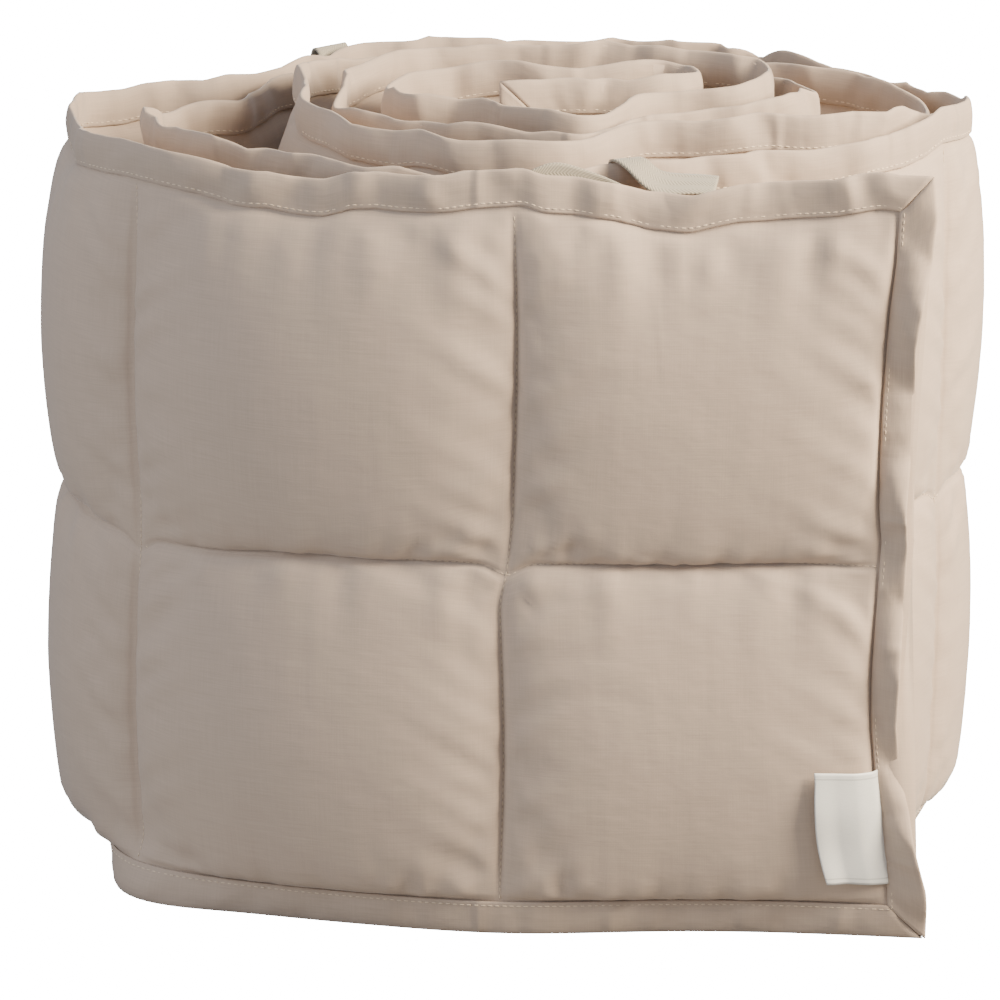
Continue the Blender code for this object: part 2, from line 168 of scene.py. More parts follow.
# The tapes, each a row for one section: its near edge and its far edge, in the frame of the route's points, in mm.
# For the tie at the back it is how far out and how high each section lies, in metres.
TIE_LOOP = (
    ((2, 3.2, 288.5), (2, 3.2, 297.0)), ((11, 4.4, 288.5), (11, 5.0, 299.5)),
    ((19, 5.8, 288.5), (19, 6.6, 302.0)), ((29, 7.2, 288.0), (29, 7.8, 300.0)),
    ((38, 7.8, 287.5), (38, 8.2, 296.5)), ((46, 7.4, 287.5), (46, 7.4, 293.0)),
)
TIE_STRAP = (
    ((40.0, 24.6, 291.0), (50.0, 27.8, 291.0)), ((40.3, 23.2, 297.8), (50.6, 26.6, 297.8)),
    ((41.5, 20.0, 299.4), (52.0, 23.6, 299.4)), ((44.8, 16.0, 298.8), (54.5, 21.4, 298.9)),
    ((49.5, 11.2, 295.6), (58.5, 20.2, 295.8)), ((56.0, 7.0, 291.0), (65.0, 20.0, 294.2)),
    ((68.0, 6.8, 290.2), (74.0, 20.5, 293.6)), ((79.0, 7.2, 289.8), (81.0, 19.5, 293.2)),
)
TIE_BACK_PLACE = (-67, 216)
TIE_BACK_HALF_WIDTH = 7 * MM
TIE_BACK_SHIFT = 3 * MM
TIE_BACK_DROP = 6 * MM
TIE_BACK = (
    (0.0031, 0.2800), (0.0032, 0.2890), (0.0043, 0.2965), (0.0068, 0.2975), (0.0090, 0.2930), (0.0150, 0.2780),
    (0.0175, 0.2620), (0.0185, 0.2450),
)
TAPE_THICKNESS = 0.9 * MM
TAPE_ROWS = 10
TAPE_STEPS = 9

# What was cut, in metres, flat and before it was folded and sewn.
STRIP_CUT_LENGTH = 3.154
END_BINDING_CUT_LENGTH = 0.302

# The label's edges and its stretch under the binding, in metres.
LABEL_FROM_END = 0.0142
LABEL_WIDTH = 0.0224
LABEL_LOW = 0.0230
LABEL_HIGH = 0.0685
LABEL_TUCKED = 0.0030
LABEL_THICKNESS = 0.5 * MM
# How far from each end of the label its darker line lies, in metres: painted shade of a hem line pressed in there.
HEM_SHADE_INSET = 0.0024


# ---- Settings ----


def length_setting(name, description, default):
    return FloatProperty(name=name, description=description, default=default, unit="LENGTH")


def colour_setting(name, description, *default):
    return FloatVectorProperty(name=name, description=description, subtype="COLOR", size=4, default=default)


class BumperSizes(bpy.types.PropertyGroup):
    """Sizes of what is sewn, in metres."""

    binding_depth: length_setting("Binding depth", "Finished depth of the folded binding", 0.0135)
    pad_puff: length_setting("Pad puff", "How far a free pad stands out of the strip", 0.0150)
    end_pull: length_setting("End pull", "How far the pads draw a free end in", 0.0080)
    pucker_share: FloatProperty(
        name="Puckers", description="Share of the simulated wrinkles that shows", default=0.52, subtype="FACTOR"
    )
    stitch_pitch: length_setting("Stitch pitch", "Distance from stitch to stitch", 0.0027)
    stitch_length: length_setting("Stitch length", "Length of thread that shows", 0.0020)
    thread_width: length_setting("Thread width", "Width of the sewing thread", 0.00052)
    outer_steps: IntProperty(name="Outer steps", description="Faces along a pad of the outer turn", default=48)
    inner_steps: IntProperty(name="Inner steps", description="Faces along a pad of the inner turns", default=24)


class BumperColours(bpy.types.PropertyGroup):
    """Colours of the cloth, thread, tape and label."""

    cotton: colour_setting("Cotton", "Face of the pads", 0.465, 0.362, 0.287, 1.0)
    # The bindings' colour is set darker than the pads' cotton as painted shade, so the bindings render darker, as
    # they do in the pads' shade.
    binding: colour_setting("Binding", "Folded binding", 0.430, 0.334, 0.264, 1.0)
    thread: colour_setting("Thread", "Sewing thread", 0.740, 0.600, 0.440, 1.0)
    tape: colour_setting("Tape", "Herringbone tape", 0.370, 0.325, 0.250, 1.0)
    label: colour_setting("Label", "Satin label", 0.700, 0.700, 0.680, 1.0)


def sizes():
    return bpy.context.scene.bumper_sizes


def colours():
    return bpy.context.scene.bumper_colours


# ---- The roll ----


def spline_slopes(knots, values):
    """The slopes at the knots of the natural cubic spline through the values."""
    gaps = np.diff(knots)
    rises = np.diff(values, axis=0) / gaps[:, None]
    count = len(knots)
    matrix = np.zeros((count, count))
    right = np.zeros_like(values)
    matrix[0, :2] = 2, 1
    matrix[-1, -2:] = 1, 2
    right[0] = 3 * rises[0]
    right[-1] = 3 * rises[-1]
    for i in range(1, count - 1):
        matrix[i, i - 1 : i + 2] = gaps[i], 2 * (gaps[i - 1] + gaps[i]), gaps[i - 1]
        right[i] = 3 * (gaps[i] * rises[i - 1] + gaps[i - 1] * rises[i])
    return np.linalg.solve(matrix, right)


def spline_through(values, steps):
    """Points of the smooth curve through the values, with this many steps between two of them."""
    values = np.array(values, float)
    knots = run_of(values)
    slopes = spline_slopes(knots, values)
    share = np.linspace(0, 1, steps, endpoint=False)[:, None]
    pieces = []
    for i in range(len(values) - 1):
        gap = knots[i + 1] - knots[i]
        pieces.append(
            (2 * share**3 - 3 * share**2 + 1) * values[i]
            + (share**3 - 2 * share**2 + share) * gap * slopes[i]
            + (3 * share**2 - 2 * share**3) * values[i + 1]
            + (share**3 - share**2) * gap * slopes[i + 1]
        )
    pieces.append(values[-1:])
    return np.concatenate(pieces)


def ease(values):
    """0 up to 0, 1 from 1 on, and a smooth step between."""
    held = np.clip(values, 0, 1)
    return held * held * (3 - 2 * held)


def bell(values):
    """1 at 0, falling smoothly to both sides, and 0.37 at 1."""
    return np.exp(-(values**2))


def run_of(points):
    """How far along the line of points each of them lies."""
    return np.concatenate([[0], np.cumsum(np.linalg.norm(np.diff(points, axis=0), axis=1))])


def follow(at, lengths, points):
    """The points or directions at these lengths along a line."""
    return np.stack([np.interp(at, lengths, points[:, k]) for k in range(points.shape[1])], axis=-1)


def unit(vectors):
    return vectors / np.linalg.norm(vectors, axis=-1, keepdims=True)


class Ripple:
    """An uneven wave along a length: a few sines with seeded lengths and phases, about 1 high."""

    def __init__(self, seed, shortest, longest, count=7):
        draw = np.random.default_rng(seed)
        self.lengths = np.exp(draw.uniform(math.log(shortest), math.log(longest), count))
        self.phases = draw.uniform(0, 2 * math.pi, count)
        self.weights = draw.uniform(0.5, 1.0, count) * np.sqrt(self.lengths / longest)
        self.weights = self.weights / np.sqrt((self.weights**2).sum() / 2) * 0.5

    def __call__(self, along):
        turns = 2 * math.pi * np.asarray(along)[..., None] / self.lengths + self.phases
        return (np.sin(turns) * self.weights).sum(axis=-1)


class Kinks:
    """An uneven zigzag along a length, as pressed cloth has: straight from one kink to the next, within 1."""

    def __init__(self, seed, length, shortest, longest):
        draw = np.random.default_rng(seed)
        gaps = draw.uniform(shortest, longest, int(2 * length / (shortest + longest)) + 12)
        self.places = np.cumsum(gaps) - longest * 4
        turns = np.where(np.arange(len(gaps)) % 2, 1.0, -1.0)
        self.values = turns * draw.uniform(0.05, 1.0, len(gaps)) + draw.uniform(-0.3, 0.3, len(gaps))

    def __call__(self, along):
        return np.interp(along, self.places, self.values)


def together(*values):
    """The values as arrays of one shape."""
    return np.broadcast_arrays(*(np.asarray(value, float) for value in values))


class Roll:
    """Where every point of the rolled strip lies. A place on it is a length along it, a distance out of its
    outer face, and a height."""

    STEPS = 24

    def __init__(self):
        stops = [place for _, _, *places in PASSES for place in places]
        rims = [(rim, sag) for rim, sag, *places in PASSES for _ in places]
        self.points = spline_through(np.array(stops) * MM, self.STEPS)
        self.lengths = run_of(self.points)
        self.length = float(self.lengths[-1])
        self.directions = unit(np.gradient(self.points, self.lengths, axis=0))
        self.rim_knots = self.lengths[:: self.STEPS]
        self.rims = np.array(rims) * MM
        self.rooms = np.array([[self.room_at(i, side) for side in (1, -1)] for i in range(len(self.points))])
        self.end_pull = sizes().end_pull
        self.inset = sizes().binding_depth + 1.0 * MM
        self.cells = round((self.length - 2 * self.inset) / CELL_LENGTH)
        self.cell = (self.length - 2 * self.inset) / self.cells
        self.middle = np.array(ROUTE_MIDDLE) * MM
        self.seam_low, self.seam_high = self.seam_offsets()
        self.sway_wave = Ripple(11, 0.045, 0.150, 8)
        self.sway_kinks = Kinks(13, self.length, 0.006, 0.028)
        self.rim_wave = Ripple(12, 0.040, 0.140, 8)
        self.rim_kinks = Kinks(14, self.length, 0.009, 0.034)

    def seam_offsets(self):
        """How far each upright seam lies past its even place, in its lower and in its upper half."""
        draw = np.random.default_rng(17)
        offsets = draw.uniform(-SEAM_SPREAD, SEAM_SPREAD, (2, self.cells + 1))
        offsets[:, 1 : len(SEAM_LINES) + 1] = np.transpose(SEAM_LINES)
        offsets[:, [0, -1]] = 0.0
        return offsets * MM

    def seam_shift(self, along, share):
        """How far along the wandering seams move the cloth, at this share of the height between the bindings."""
        run = self.cell_run(along)
        before = run.astype(int)
        part = run - before
        upper = ease((share - 0.42) / 0.16)

        def at_seam(seam):
            wander = np.sin(2 * math.pi * (share * (1.3 + 0.4 * (seam % 3)) + 0.37 * seam)) * SEAM_WANDER
            held = (seam > 0) & (seam < self.cells)
            return self.seam_low[seam] * (1 - upper) + self.seam_high[seam] * upper + wander * held

        return at_seam(before) * (1 - part) + at_seam(before + 1) * part

    def squeeze(self, along, part):
        """The sum of one column of the squeezes here; for the pads' puff, the share that is left."""
        along = np.asarray(along, float)
        total = np.zeros_like(along)
        for row in SQUEEZES:
            near = bell((along - row.along) / row.half_width)
            total = total + near * (1 - row.puff if part == "puff" else getattr(row, part) * MM)
        return np.clip(1 - total, 0.3, 1) if part == "puff" else total

    def end_bend(self, height, part):
        heights = [row.height * MM for row in END_BENDS]
        return np.interp(height, heights, [getattr(row, part) * MM for row in END_BENDS])

    def room_at(self, i, side):
        """The largest circle that touches the line at this point and meets it nowhere else, by radius."""
        dx, dy = self.directions[i]
        normal = np.array([-dy, dx]) * side
        away = self.points - self.points[i]
        ahead = away @ normal
        facing = ahead > 1e-6
        if not facing.any():
            return 1.0
        radii = (away[facing] ** 2).sum(axis=1) / (2 * ahead[facing])
        return float(min(radii.min(), 1.0))

    def room(self, along, side):
        return np.interp(along, self.lengths, self.rooms[:, 0 if side > 0 else 1])

    def plan(self, along):
        before = np.minimum(along, 0.0)[..., None] * self.directions[0]
        beyond = np.maximum(along - self.length, 0.0)[..., None] * self.directions[-1]
        return follow(along, self.lengths, self.points) + before + beyond

    def outward(self, along):
        direction = follow(along, self.lengths, self.directions)
        return unit(np.stack([-direction[..., 1], direction[..., 0]], axis=-1))

    def cell_run(self, along):
        """How many pads lie before this length, with the share of the last one."""
        return np.clip((along - self.inset) / self.cell, 0.0, self.cells - 1e-6)

    def plain_rim(self, along):
        line = follow(along, self.rim_knots, self.rims)
        share = self.cell_run(along) % 1
        return line[..., 0] - line[..., 1] * np.sin(math.pi * share) ** 2

    def middle_seam(self, along):
        """The height of the seam between the two rows of pads."""
        rim = np.interp(along, self.rim_knots, self.rims[:, 0])
        low_left = 5.0 * MM * bell((along - 0.300) / 0.040)
        return rim / 2 - 1.0 * MM - low_left + 0.5 * MM * self.rim_wave(along + 0.4)

    def rows_up(self, along, height):
        """How many rows of pads lie below this height, with the share of the last one."""
        low, middle, high = self.inset, self.middle_seam(along), self.rim(along) - self.inset
        lower = (height - low) / (middle - low)
        upper = 1 + (height - middle) / (high - middle)
        return np.where(height < middle, lower, upper)

    def height_of(self, along, rows):
        """The height at which this many rows of pads lie below."""
        low, middle, high = self.inset, self.middle_seam(along), self.rim(along) - self.inset
        return np.where(rows < 1, low + rows * (middle - low), middle + (rows - 1) * (high - middle))

    def crease_shift(self, along, part):
        """The sum of the rim creases here: how far out they stand, or how far they drop."""
        total = np.zeros_like(np.asarray(along, float))
        for crease in RIM_CREASES:
            near = np.abs(along - crease.along) / (crease.half_width * MM)
            total = total + getattr(crease, part) * MM * np.clip(1 - near / 2, 0, 1) ** 2.2
        return total

    def rim(self, along):
        """The height of the top edge, with its small waves."""
        at_ends = ease(along / 0.02) * ease((self.length - along) / 0.02)
        waves = 0.7 * MM * self.rim_wave(along) + 1.2 * MM * self.rim_kinks(along)
        waves = waves - self.crease_shift(along, "drop")
        return self.plain_rim(along) + self.squeeze(along, "rise") + waves * at_ends

    def sway(self, along, height):
        """How far the soft edge leans out: most at the top fold, and nothing below the pads' top."""
        depth = self.plain_rim(along) - height
        slanted = along + 0.45 * depth * np.sin(along / 0.021)
        waves = 0.8 * MM * self.sway_wave(along) + 2.5 * MM * self.sway_kinks(slanted)
        lean = (waves + self.crease_shift(along, "out")) * (1 - ease(depth / 0.030))
        most, least = (np.clip(self.room(along, side) - EDGE_CLEARANCE, 0, EDGE_SWAY) for side in (1, -1))
        return np.clip(lean, -least, most) * ease(along / 0.03 + 0.2) * ease((self.length - along) / 0.03)

    def drawn_in(self, along, height):
        """The length along after the pads have drawn the free ends in."""
        share = np.clip((height - self.inset) / (self.plain_rim(along) - 2 * self.inset), 0, 1)
        from_start = np.clip(1 - along / END_PULL_SPAN, 0, 1)
        from_end = np.clip(1 - (self.length - along) / END_PULL_SPAN, 0, 1)
        bend = self.end_bend(height, "stitch") * ease(1 - along / 0.07)
        return along + self.end_pull * np.sin(math.pi * share) * (from_start - from_end) - bend

    def point(self, along, out, height):
        along, out, height = together(along, out, height)
        moved = self.drawn_in(along, height)
        tuck = self.squeeze(along, "tuck") * (1 - ease(height / TUCK_REACH))
        tuck = tuck + FOOT_TUCK * (1 - ease(height / FOOT_REACH))
        upward = np.clip(height / 0.3, 0, 1)
        lean = self.squeeze(along, "foot") * (1 - upward) + self.squeeze(along, "head") * upward
        out = out + self.sway(along, height) + lean - tuck
        flat = self.plan(moved) + self.outward(moved) * out[..., None] - self.middle
        return np.concatenate([flat, height[..., None]], axis=-1)


# ---- Mesh helpers ----


def flat_grid(name, columns, rows):
    """A flat grid of faces, and the column and the row of each of its vertices."""
    shape = bmesh.new()
    bmesh.ops.create_grid(shape, x_segments=columns, y_segments=rows, size=0.5)
    mesh = bpy.data.meshes.new(name)
    shape.to_mesh(mesh)
    shape.free()
    places = read_places(mesh)
    column = np.rint((places[:, 0] + 0.5) * columns).astype(int)
    row = np.rint((places[:, 1] + 0.5) * rows).astype(int)
    return mesh, column, row


def read_places(mesh):
    places = np.empty(len(mesh.vertices) * 3, np.float32)
    mesh.vertices.foreach_get("co", places)
    return places.reshape(-1, 3).astype(float)


def set_places(mesh, places):
    mesh.vertices.foreach_set("co", np.ascontiguousarray(places, np.float32).ravel())
    mesh.update()


def lay_out_cloth(mesh, across, up):
    """A UV map in metres of cloth, so that the weave follows the cloth."""
    corners = np.empty(len(mesh.loops), np.int32)
    mesh.loops.foreach_get("vertex_index", corners)
    layer = mesh.uv_layers.new(name="cloth")
    flat = np.stack([across[corners], up[corners]], axis=1)
    layer.data.foreach_set("uv", np.ascontiguousarray(flat, np.float32).ravel())


def show(name, data):
    """A new object in the scene."""
    shown = bpy.data.objects.new(name, data)
    bpy.context.scene.collection.objects.link(shown)
    return shown


def add_piece(name, mesh, material):
    """A finished piece at the origin, riding on the roll, with this material."""
    mesh.materials.clear()
    mesh.materials.append(material)
    mesh.shade_smooth()
    piece = show(name, mesh)
    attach(piece, BODY)
    return piece


def thicken(piece, thickness):
    """Gives a sheet its thickness, half to each side."""
    wall = piece.modifiers.new("Cloth thickness", "SOLIDIFY")
    wall.thickness = thickness
    wall.offset = 0.0
    wall.use_even_offset = False


# ---- Materials ----


class NodeWriter:
    """Places nodes in a tree from left to right and links them."""

    def __init__(self, tree):
        self.tree = tree
        self.column = 0

    def add(self, kind, **settings):
        node = self.tree.nodes.new(kind)
        node.location = (self.column * 190, 0)
        self.column += 1
        for key, value in settings.items():
            setattr(node, key, value)
        return node

    def wire(self, node, inputs):
        """Gives a node its inputs, each a value or the socket that feeds it."""
        for name, value in inputs.items():
            if isinstance(value, bpy.types.NodeSocket):
                self.tree.links.new(value, node.inputs[name])
            else:
                node.inputs[name].default_value = value

    def put(self, kind, inputs, output=0, **settings):
        """The output of a new node with these inputs."""
        node = self.add(kind, **settings)
        self.wire(node, inputs)
        return node.outputs[output]

    def finish(self, outputs):
        """Closes a group with these outputs."""
        self.wire(self.add("NodeGroupOutput"), outputs)
        return self.tree

    def math(self, operation, *values):
        return self.put("ShaderNodeMath", dict(enumerate(values)), operation=operation)

    def mix(self, share, first, second):
        return self.put("ShaderNodeMix", {0: share, 6: first, 7: second}, 2, data_type="RGBA")

    def cloth(self):
        return self.put("ShaderNodeUVMap", {}, uv_map="cloth")

    def split(self, source):
        node = self.add("ShaderNodeSeparateXYZ")
        self.wire(node, {0: source})
        return node.outputs[0], node.outputs[1]

    def scaled(self, source, scale):
        return self.put("ShaderNodeVectorMath", {0: source, "Scale": scale}, operation="SCALE")

    def stretch(self, source, scale, turn=0.0):
        inputs = {"Vector": source, "Rotation": (0.0, 0.0, turn), "Scale": scale}
        return self.put("ShaderNodeMapping", inputs, vector_type="POINT")

    def noise(self, source, scale, detail=2.0, roughness=0.5):
        inputs = {"Vector": source, "Scale": scale, "Detail": detail, "Roughness": roughness}
        return self.put("ShaderNodeTexNoise", inputs, "Fac")

    def span(self, value, low, high, to_low, to_high, **settings):
        names = ("Value", "From Min", "From Max", "To Min", "To Max")
        return self.put("ShaderNodeMapRange", dict(zip(names, (value, low, high, to_low, to_high))), **settings)

    def bump(self, height, distance, strength, **normal):
        inputs = {"Strength": strength, "Distance": distance, "Height": height, **normal}
        return self.put("ShaderNodeBump", inputs)


def new_group(name, inputs, outputs):
    """(writer, what the group is given) for a new shader node group: its inputs with their defaults, and outputs."""
    tree = bpy.data.node_groups.new(name, "ShaderNodeTree")
    for way, names in (("INPUT", inputs), ("OUTPUT", outputs)):
        for socket in names:
            kind = "NodeSocketColor" if socket == "Colour" else "NodeSocketFloat"
            made = tree.interface.new_socket(name=socket, in_out=way, socket_type=kind)
            if way == "INPUT":
                made.default_value = inputs[socket]
    writer = NodeWriter(tree)
    return writer, writer.add("NodeGroupInput").outputs


def percale_group(name):
    """Fine plain weave: thread crossings, slubs along both threads and a slow drift of tone."""
    inputs = {"Colour": (0.5, 0.42, 0.35, 1.0), "Threads per metre": 1500.0, "Slubs": 0.26, "Drift": 0.05}
    writer, given = new_group(name, inputs, ("Colour", "Height", "Roughness"))
    cloth = writer.cloth()
    across, up = writer.split(cloth)
    turns = writer.math("MULTIPLY", given["Threads per metre"], math.pi)
    warp, weft = (writer.math("SINE", writer.math("MULTIPLY", way, turns)) for way in (across, up))
    weft_slub = writer.noise(writer.stretch(cloth, (55.0, 2300.0, 1.0)), 1.0, 2.0, 0.6)
    warp_slub = writer.noise(writer.stretch(cloth, (2100.0, 45.0, 1.0)), 1.0, 2.0, 0.6)
    slub = writer.math("ADD", weft_slub, writer.math("MULTIPLY", warp_slub, 0.6))
    slub_tone = writer.math("MULTIPLY", writer.math("SUBTRACT", slub, 0.8), given["Slubs"])
    drift = writer.noise(cloth, 17.0, 3.0, 0.55)
    drift_tone = writer.math("MULTIPLY", writer.math("SUBTRACT", drift, 0.5), given["Drift"])
    tone = writer.math("ADD", writer.math("ADD", slub_tone, drift_tone), 1.0)
    height = writer.math("ADD", writer.math("MULTIPLY", writer.math("MAXIMUM", warp, weft), 0.06), slub)
    roughness = writer.span(slub, 0.5, 1.1, 0.70, 0.82)
    shade = writer.scaled(given["Colour"], tone)
    return writer.finish({"Colour": shade, "Height": height, "Roughness": roughness})


def creasing_group(name):
    """Soft small creases that a washed cotton keeps, as a height, longer along the cloth than across it."""
    writer, given = new_group(name, {"Scale": 1.0, "Folds": 0.3}, ("Height",))
    cloth = writer.scaled(writer.cloth(), given["Scale"])
    soft = writer.noise(writer.stretch(cloth, (26.0, 44.0, 1.0)), 1.0, 3.0, 0.5)
    fine = writer.noise(writer.stretch(cloth, (70.0, 160.0, 1.0)), 1.0, 2.0, 0.5)
    height = writer.math("ADD", soft, writer.math("MULTIPLY", fine, 0.25))
    for turn, scale in ((0.80, (42.0, 15.0, 1.0)), (-0.65, (30.0, 12.0, 1.0))):
        level = writer.math("SUBTRACT", writer.noise(writer.stretch(cloth, scale, turn), 1.0, 1.0, 0.4), 0.5)
        off_ridge = writer.math("ABSOLUTE", level)
        ridge = writer.span(off_ridge, 0.0, 0.13, 1.0, 0.0, interpolation_type="SMOOTHSTEP")
        height = writer.math("ADD", height, writer.math("MULTIPLY", ridge, given["Folds"]))
    return writer.finish({"Height": height})


def place_group(writer, name, build, **values):
    """The outputs of a group that is made on its first use."""
    node = writer.add("ShaderNodeGroup", node_tree=bpy.data.node_groups.get(name) or build(name))
    writer.wire(node, values)
    return node.outputs


def tinted(colour, share):
    return tuple(min(share * c, 1.0) for c in colour[:3]) + (1.0,)


def new_material(name, colour, sheen):
    """(material, writer for its nodes, its shader)"""
    material = bpy.data.materials.new(name)
    material.use_nodes = True
    material.diffuse_color = colour
    shader = material.node_tree.nodes["Principled BSDF"]
    shader.inputs["Sheen Weight"].default_value = sheen
    return material, NodeWriter(material.node_tree), shader


def cotton_material(name, colour, creasing, folds):
    """Percale in this colour, with creases this deep in metres, and this share of sharp folds among them."""
    material, writer, shader = new_material(name, colour, 0.25)
    weave = place_group(writer, "Percale weave", percale_group, Colour=colour)
    creases = place_group(writer, "Cotton creasing", creasing_group, Folds=folds)
    broad = writer.bump(creases["Height"], creasing, 1.0)
    writer.wire(shader, {
        "Base Color": weave["Colour"],
        "Roughness": weave["Roughness"],
        "Normal": writer.bump(weave["Height"], 0.00006, 0.5, Normal=broad),
        "Sheen Roughness": 0.45,
        "Specular IOR Level": 0.35,
    })
    return material


def thread_material(colour):
    """Twisted sewing thread, a little lighter than the cloth."""
    material, writer, shader = new_material("bumper_thread", colour, 0.2)
    fibre = writer.noise(writer.put("ShaderNodeTexCoord", {}, "Object"), 900.0)
    writer.wire(shader, {
        "Base Color": writer.mix(fibre, tinted(colour, 0.78), colour),
        "Roughness": writer.span(fibre, 0.3, 0.7, 0.50, 0.65),
    })
    return material


def tape_material(colour):
    """Herringbone cotton tape: slanting ribs that turn back at each stripe, with painted light on their crests and
    painted shade in their grooves.
    """
    material, writer, shader = new_material("bumper_tape", colour, 0.3)
    cloth = writer.cloth()
    along, across = writer.split(cloth)
    stripe = writer.math("PINGPONG", across, 0.0026)
    slant = writer.math("ADD", along, writer.math("MULTIPLY", stripe, 1.2))
    rib = writer.math("SINE", writer.math("MULTIPLY", slant, 2 * math.pi / 0.0013))
    lift = writer.span(rib, -1.0, 1.0, 0.0, 1.0)
    fibre = writer.noise(writer.stretch(cloth, (900.0, 900.0, 1.0)), 1.0, 2.0, 0.6)
    height = writer.math("ADD", lift, writer.math("MULTIPLY", fibre, 0.4))
    writer.wire(shader, {
        # The ribs' colour follows their height: painted light on the crests and painted shade in the grooves.
        "Base Color": writer.mix(lift, tinted(colour, 0.80), tinted(colour, 1.10)),
        "Roughness": writer.span(fibre, 0.3, 0.7, 0.78, 0.92),
        "Normal": writer.bump(height, 0.0002, 0.6),
    })
    return material


def satin_material(colour):
    """White woven satin: long floats across the label, a soft gloss, and two darker lines near its ends, painted
    shade of the hem lines pressed in there.
    """
    material, writer, shader = new_material("bumper_satin", colour, 0.15)
    cloth = writer.cloth()
    floats = writer.noise(writer.stretch(cloth, (300.0, 5200.0, 1.0)), 1.0, 2.0, 0.6)
    speck = writer.noise(cloth, 2600.0, 1.0, 0.5)
    tone = writer.math("ADD", floats, writer.math("MULTIPLY", speck, 0.5))
    woven = writer.mix(writer.span(tone, 0.5, 1.0, 0.0, 1.0), tinted(colour, 0.90), colour)
    up = writer.split(cloth)[1]
    ends = (HEM_SHADE_INSET, LABEL_HIGH - LABEL_LOW - HEM_SHADE_INSET)
    # Two darker lines near the label's ends: painted shade of the hem lines pressed in there.
    lines = writer.math("MAXIMUM", *(writer.math("COMPARE", up, at, 0.0003) for at in ends))
    writer.wire(shader, {
        "Base Color": writer.mix(lines, woven, tinted(colour, 0.72)),
        "Roughness": writer.span(floats, 0.3, 0.7, 0.34, 0.46),
        "Normal": writer.bump(floats, 0.00008, 0.5),
        "Anisotropic": 0.5,
    })
    return material


# ---- The quilted strip ----

OUTER_CELLS = 8
LOWER_INNER_STEPS = 14
UPPER_INNER_STEPS = 26
OUTER_ROW_STEPS = 46
KNOT_DROP = 4.4 * MM
KNOT_WIDTH = 6.0 * MM
END_BULGE = 4.2 * MM
# How far the pads' edges reach over a seam, in mm: an upper pad down over the middle seam, a lower pad down over
# the bottom binding and up to the middle seam, and an upper pad up to the top binding.
MIDDLE_HANG, LOW_HANG, MIDDLE_SWELL, TOP_SWELL = 13.0, 7.5, 8.5, 0.6

# The flat piece of quilting that is blown up to see how the cloth puckers: its pads, its mesh, and the cloth.
PATCH_CELLS = 7
PATCH_STEP = 3.0 * MM
PATCH_ROW = 0.1355
PATCH_FRAMES = 26
PATCH_PRESSURE = 4.0
PATCH_EASE = 0.042
PATCH_BENDING = 1.2


@lru_cache(maxsize=1)
def blow_up_patch(cell):
    """Heights of the cloth of a flat patch of pads, sewn down on its seams and filled, on a grid of its mesh."""
    columns = PATCH_CELLS * round(cell / PATCH_STEP)
    rows = 2 * round(PATCH_ROW / PATCH_STEP)
    mesh, column, row = flat_grid("patch", columns, rows)
    across = column / columns * PATCH_CELLS
    up = row / rows * 2
    sewn = (np.abs(across - np.rint(across)) < 1e-6) | (np.abs(up - np.rint(up)) < 1e-6)
    dome = np.abs(np.sin(math.pi * across) * np.sin(math.pi * up)) * 4.0 * MM
    rough = np.random.default_rng(3).uniform(-0.4, 0.4, len(column)) * MM
    lift = np.where(sewn, 0.0, dome + rough)
    set_places(mesh, np.stack([across * cell, up * PATCH_ROW, lift], axis=1))
    patch = show("patch", mesh)
    seams = patch.vertex_groups.new(name="seams")
    seams.add([int(i) for i in np.nonzero(sewn)[0]], 1.0, "REPLACE")
    cloth = patch.modifiers.new("Cloth", "CLOTH")
    cloth.collision_settings.use_collision = False
    cloth.point_cache.frame_end = PATCH_FRAMES + 1
    settings = cloth.settings
    settings.quality = 5
    settings.mass = 0.3
    settings.vertex_group_mass = "seams"
    settings.tension_stiffness = settings.compression_stiffness = settings.shear_stiffness = 15
    settings.tension_damping = settings.compression_damping = settings.shear_damping = 5
    settings.bending_stiffness = PATCH_BENDING
    settings.bending_damping = 0.5
    settings.use_pressure = True
    settings.uniform_pressure_force = PATCH_PRESSURE
    settings.shrink_min = -PATCH_EASE
    settings.effector_weights.gravity = 0.0
    for step in range(1, PATCH_FRAMES + 1):
        bpy.context.scene.frame_set(step)
    blown = patch.evaluated_get(bpy.context.evaluated_depsgraph_get()).to_mesh()
    places = read_places(blown)
    bpy.data.objects.remove(patch)
    bpy.data.meshes.remove(mesh)
    bpy.context.scene.frame_set(1)
    heights = np.zeros((columns + 1, rows + 1))
    heights[column, row] = places[:, 2]
    return heights


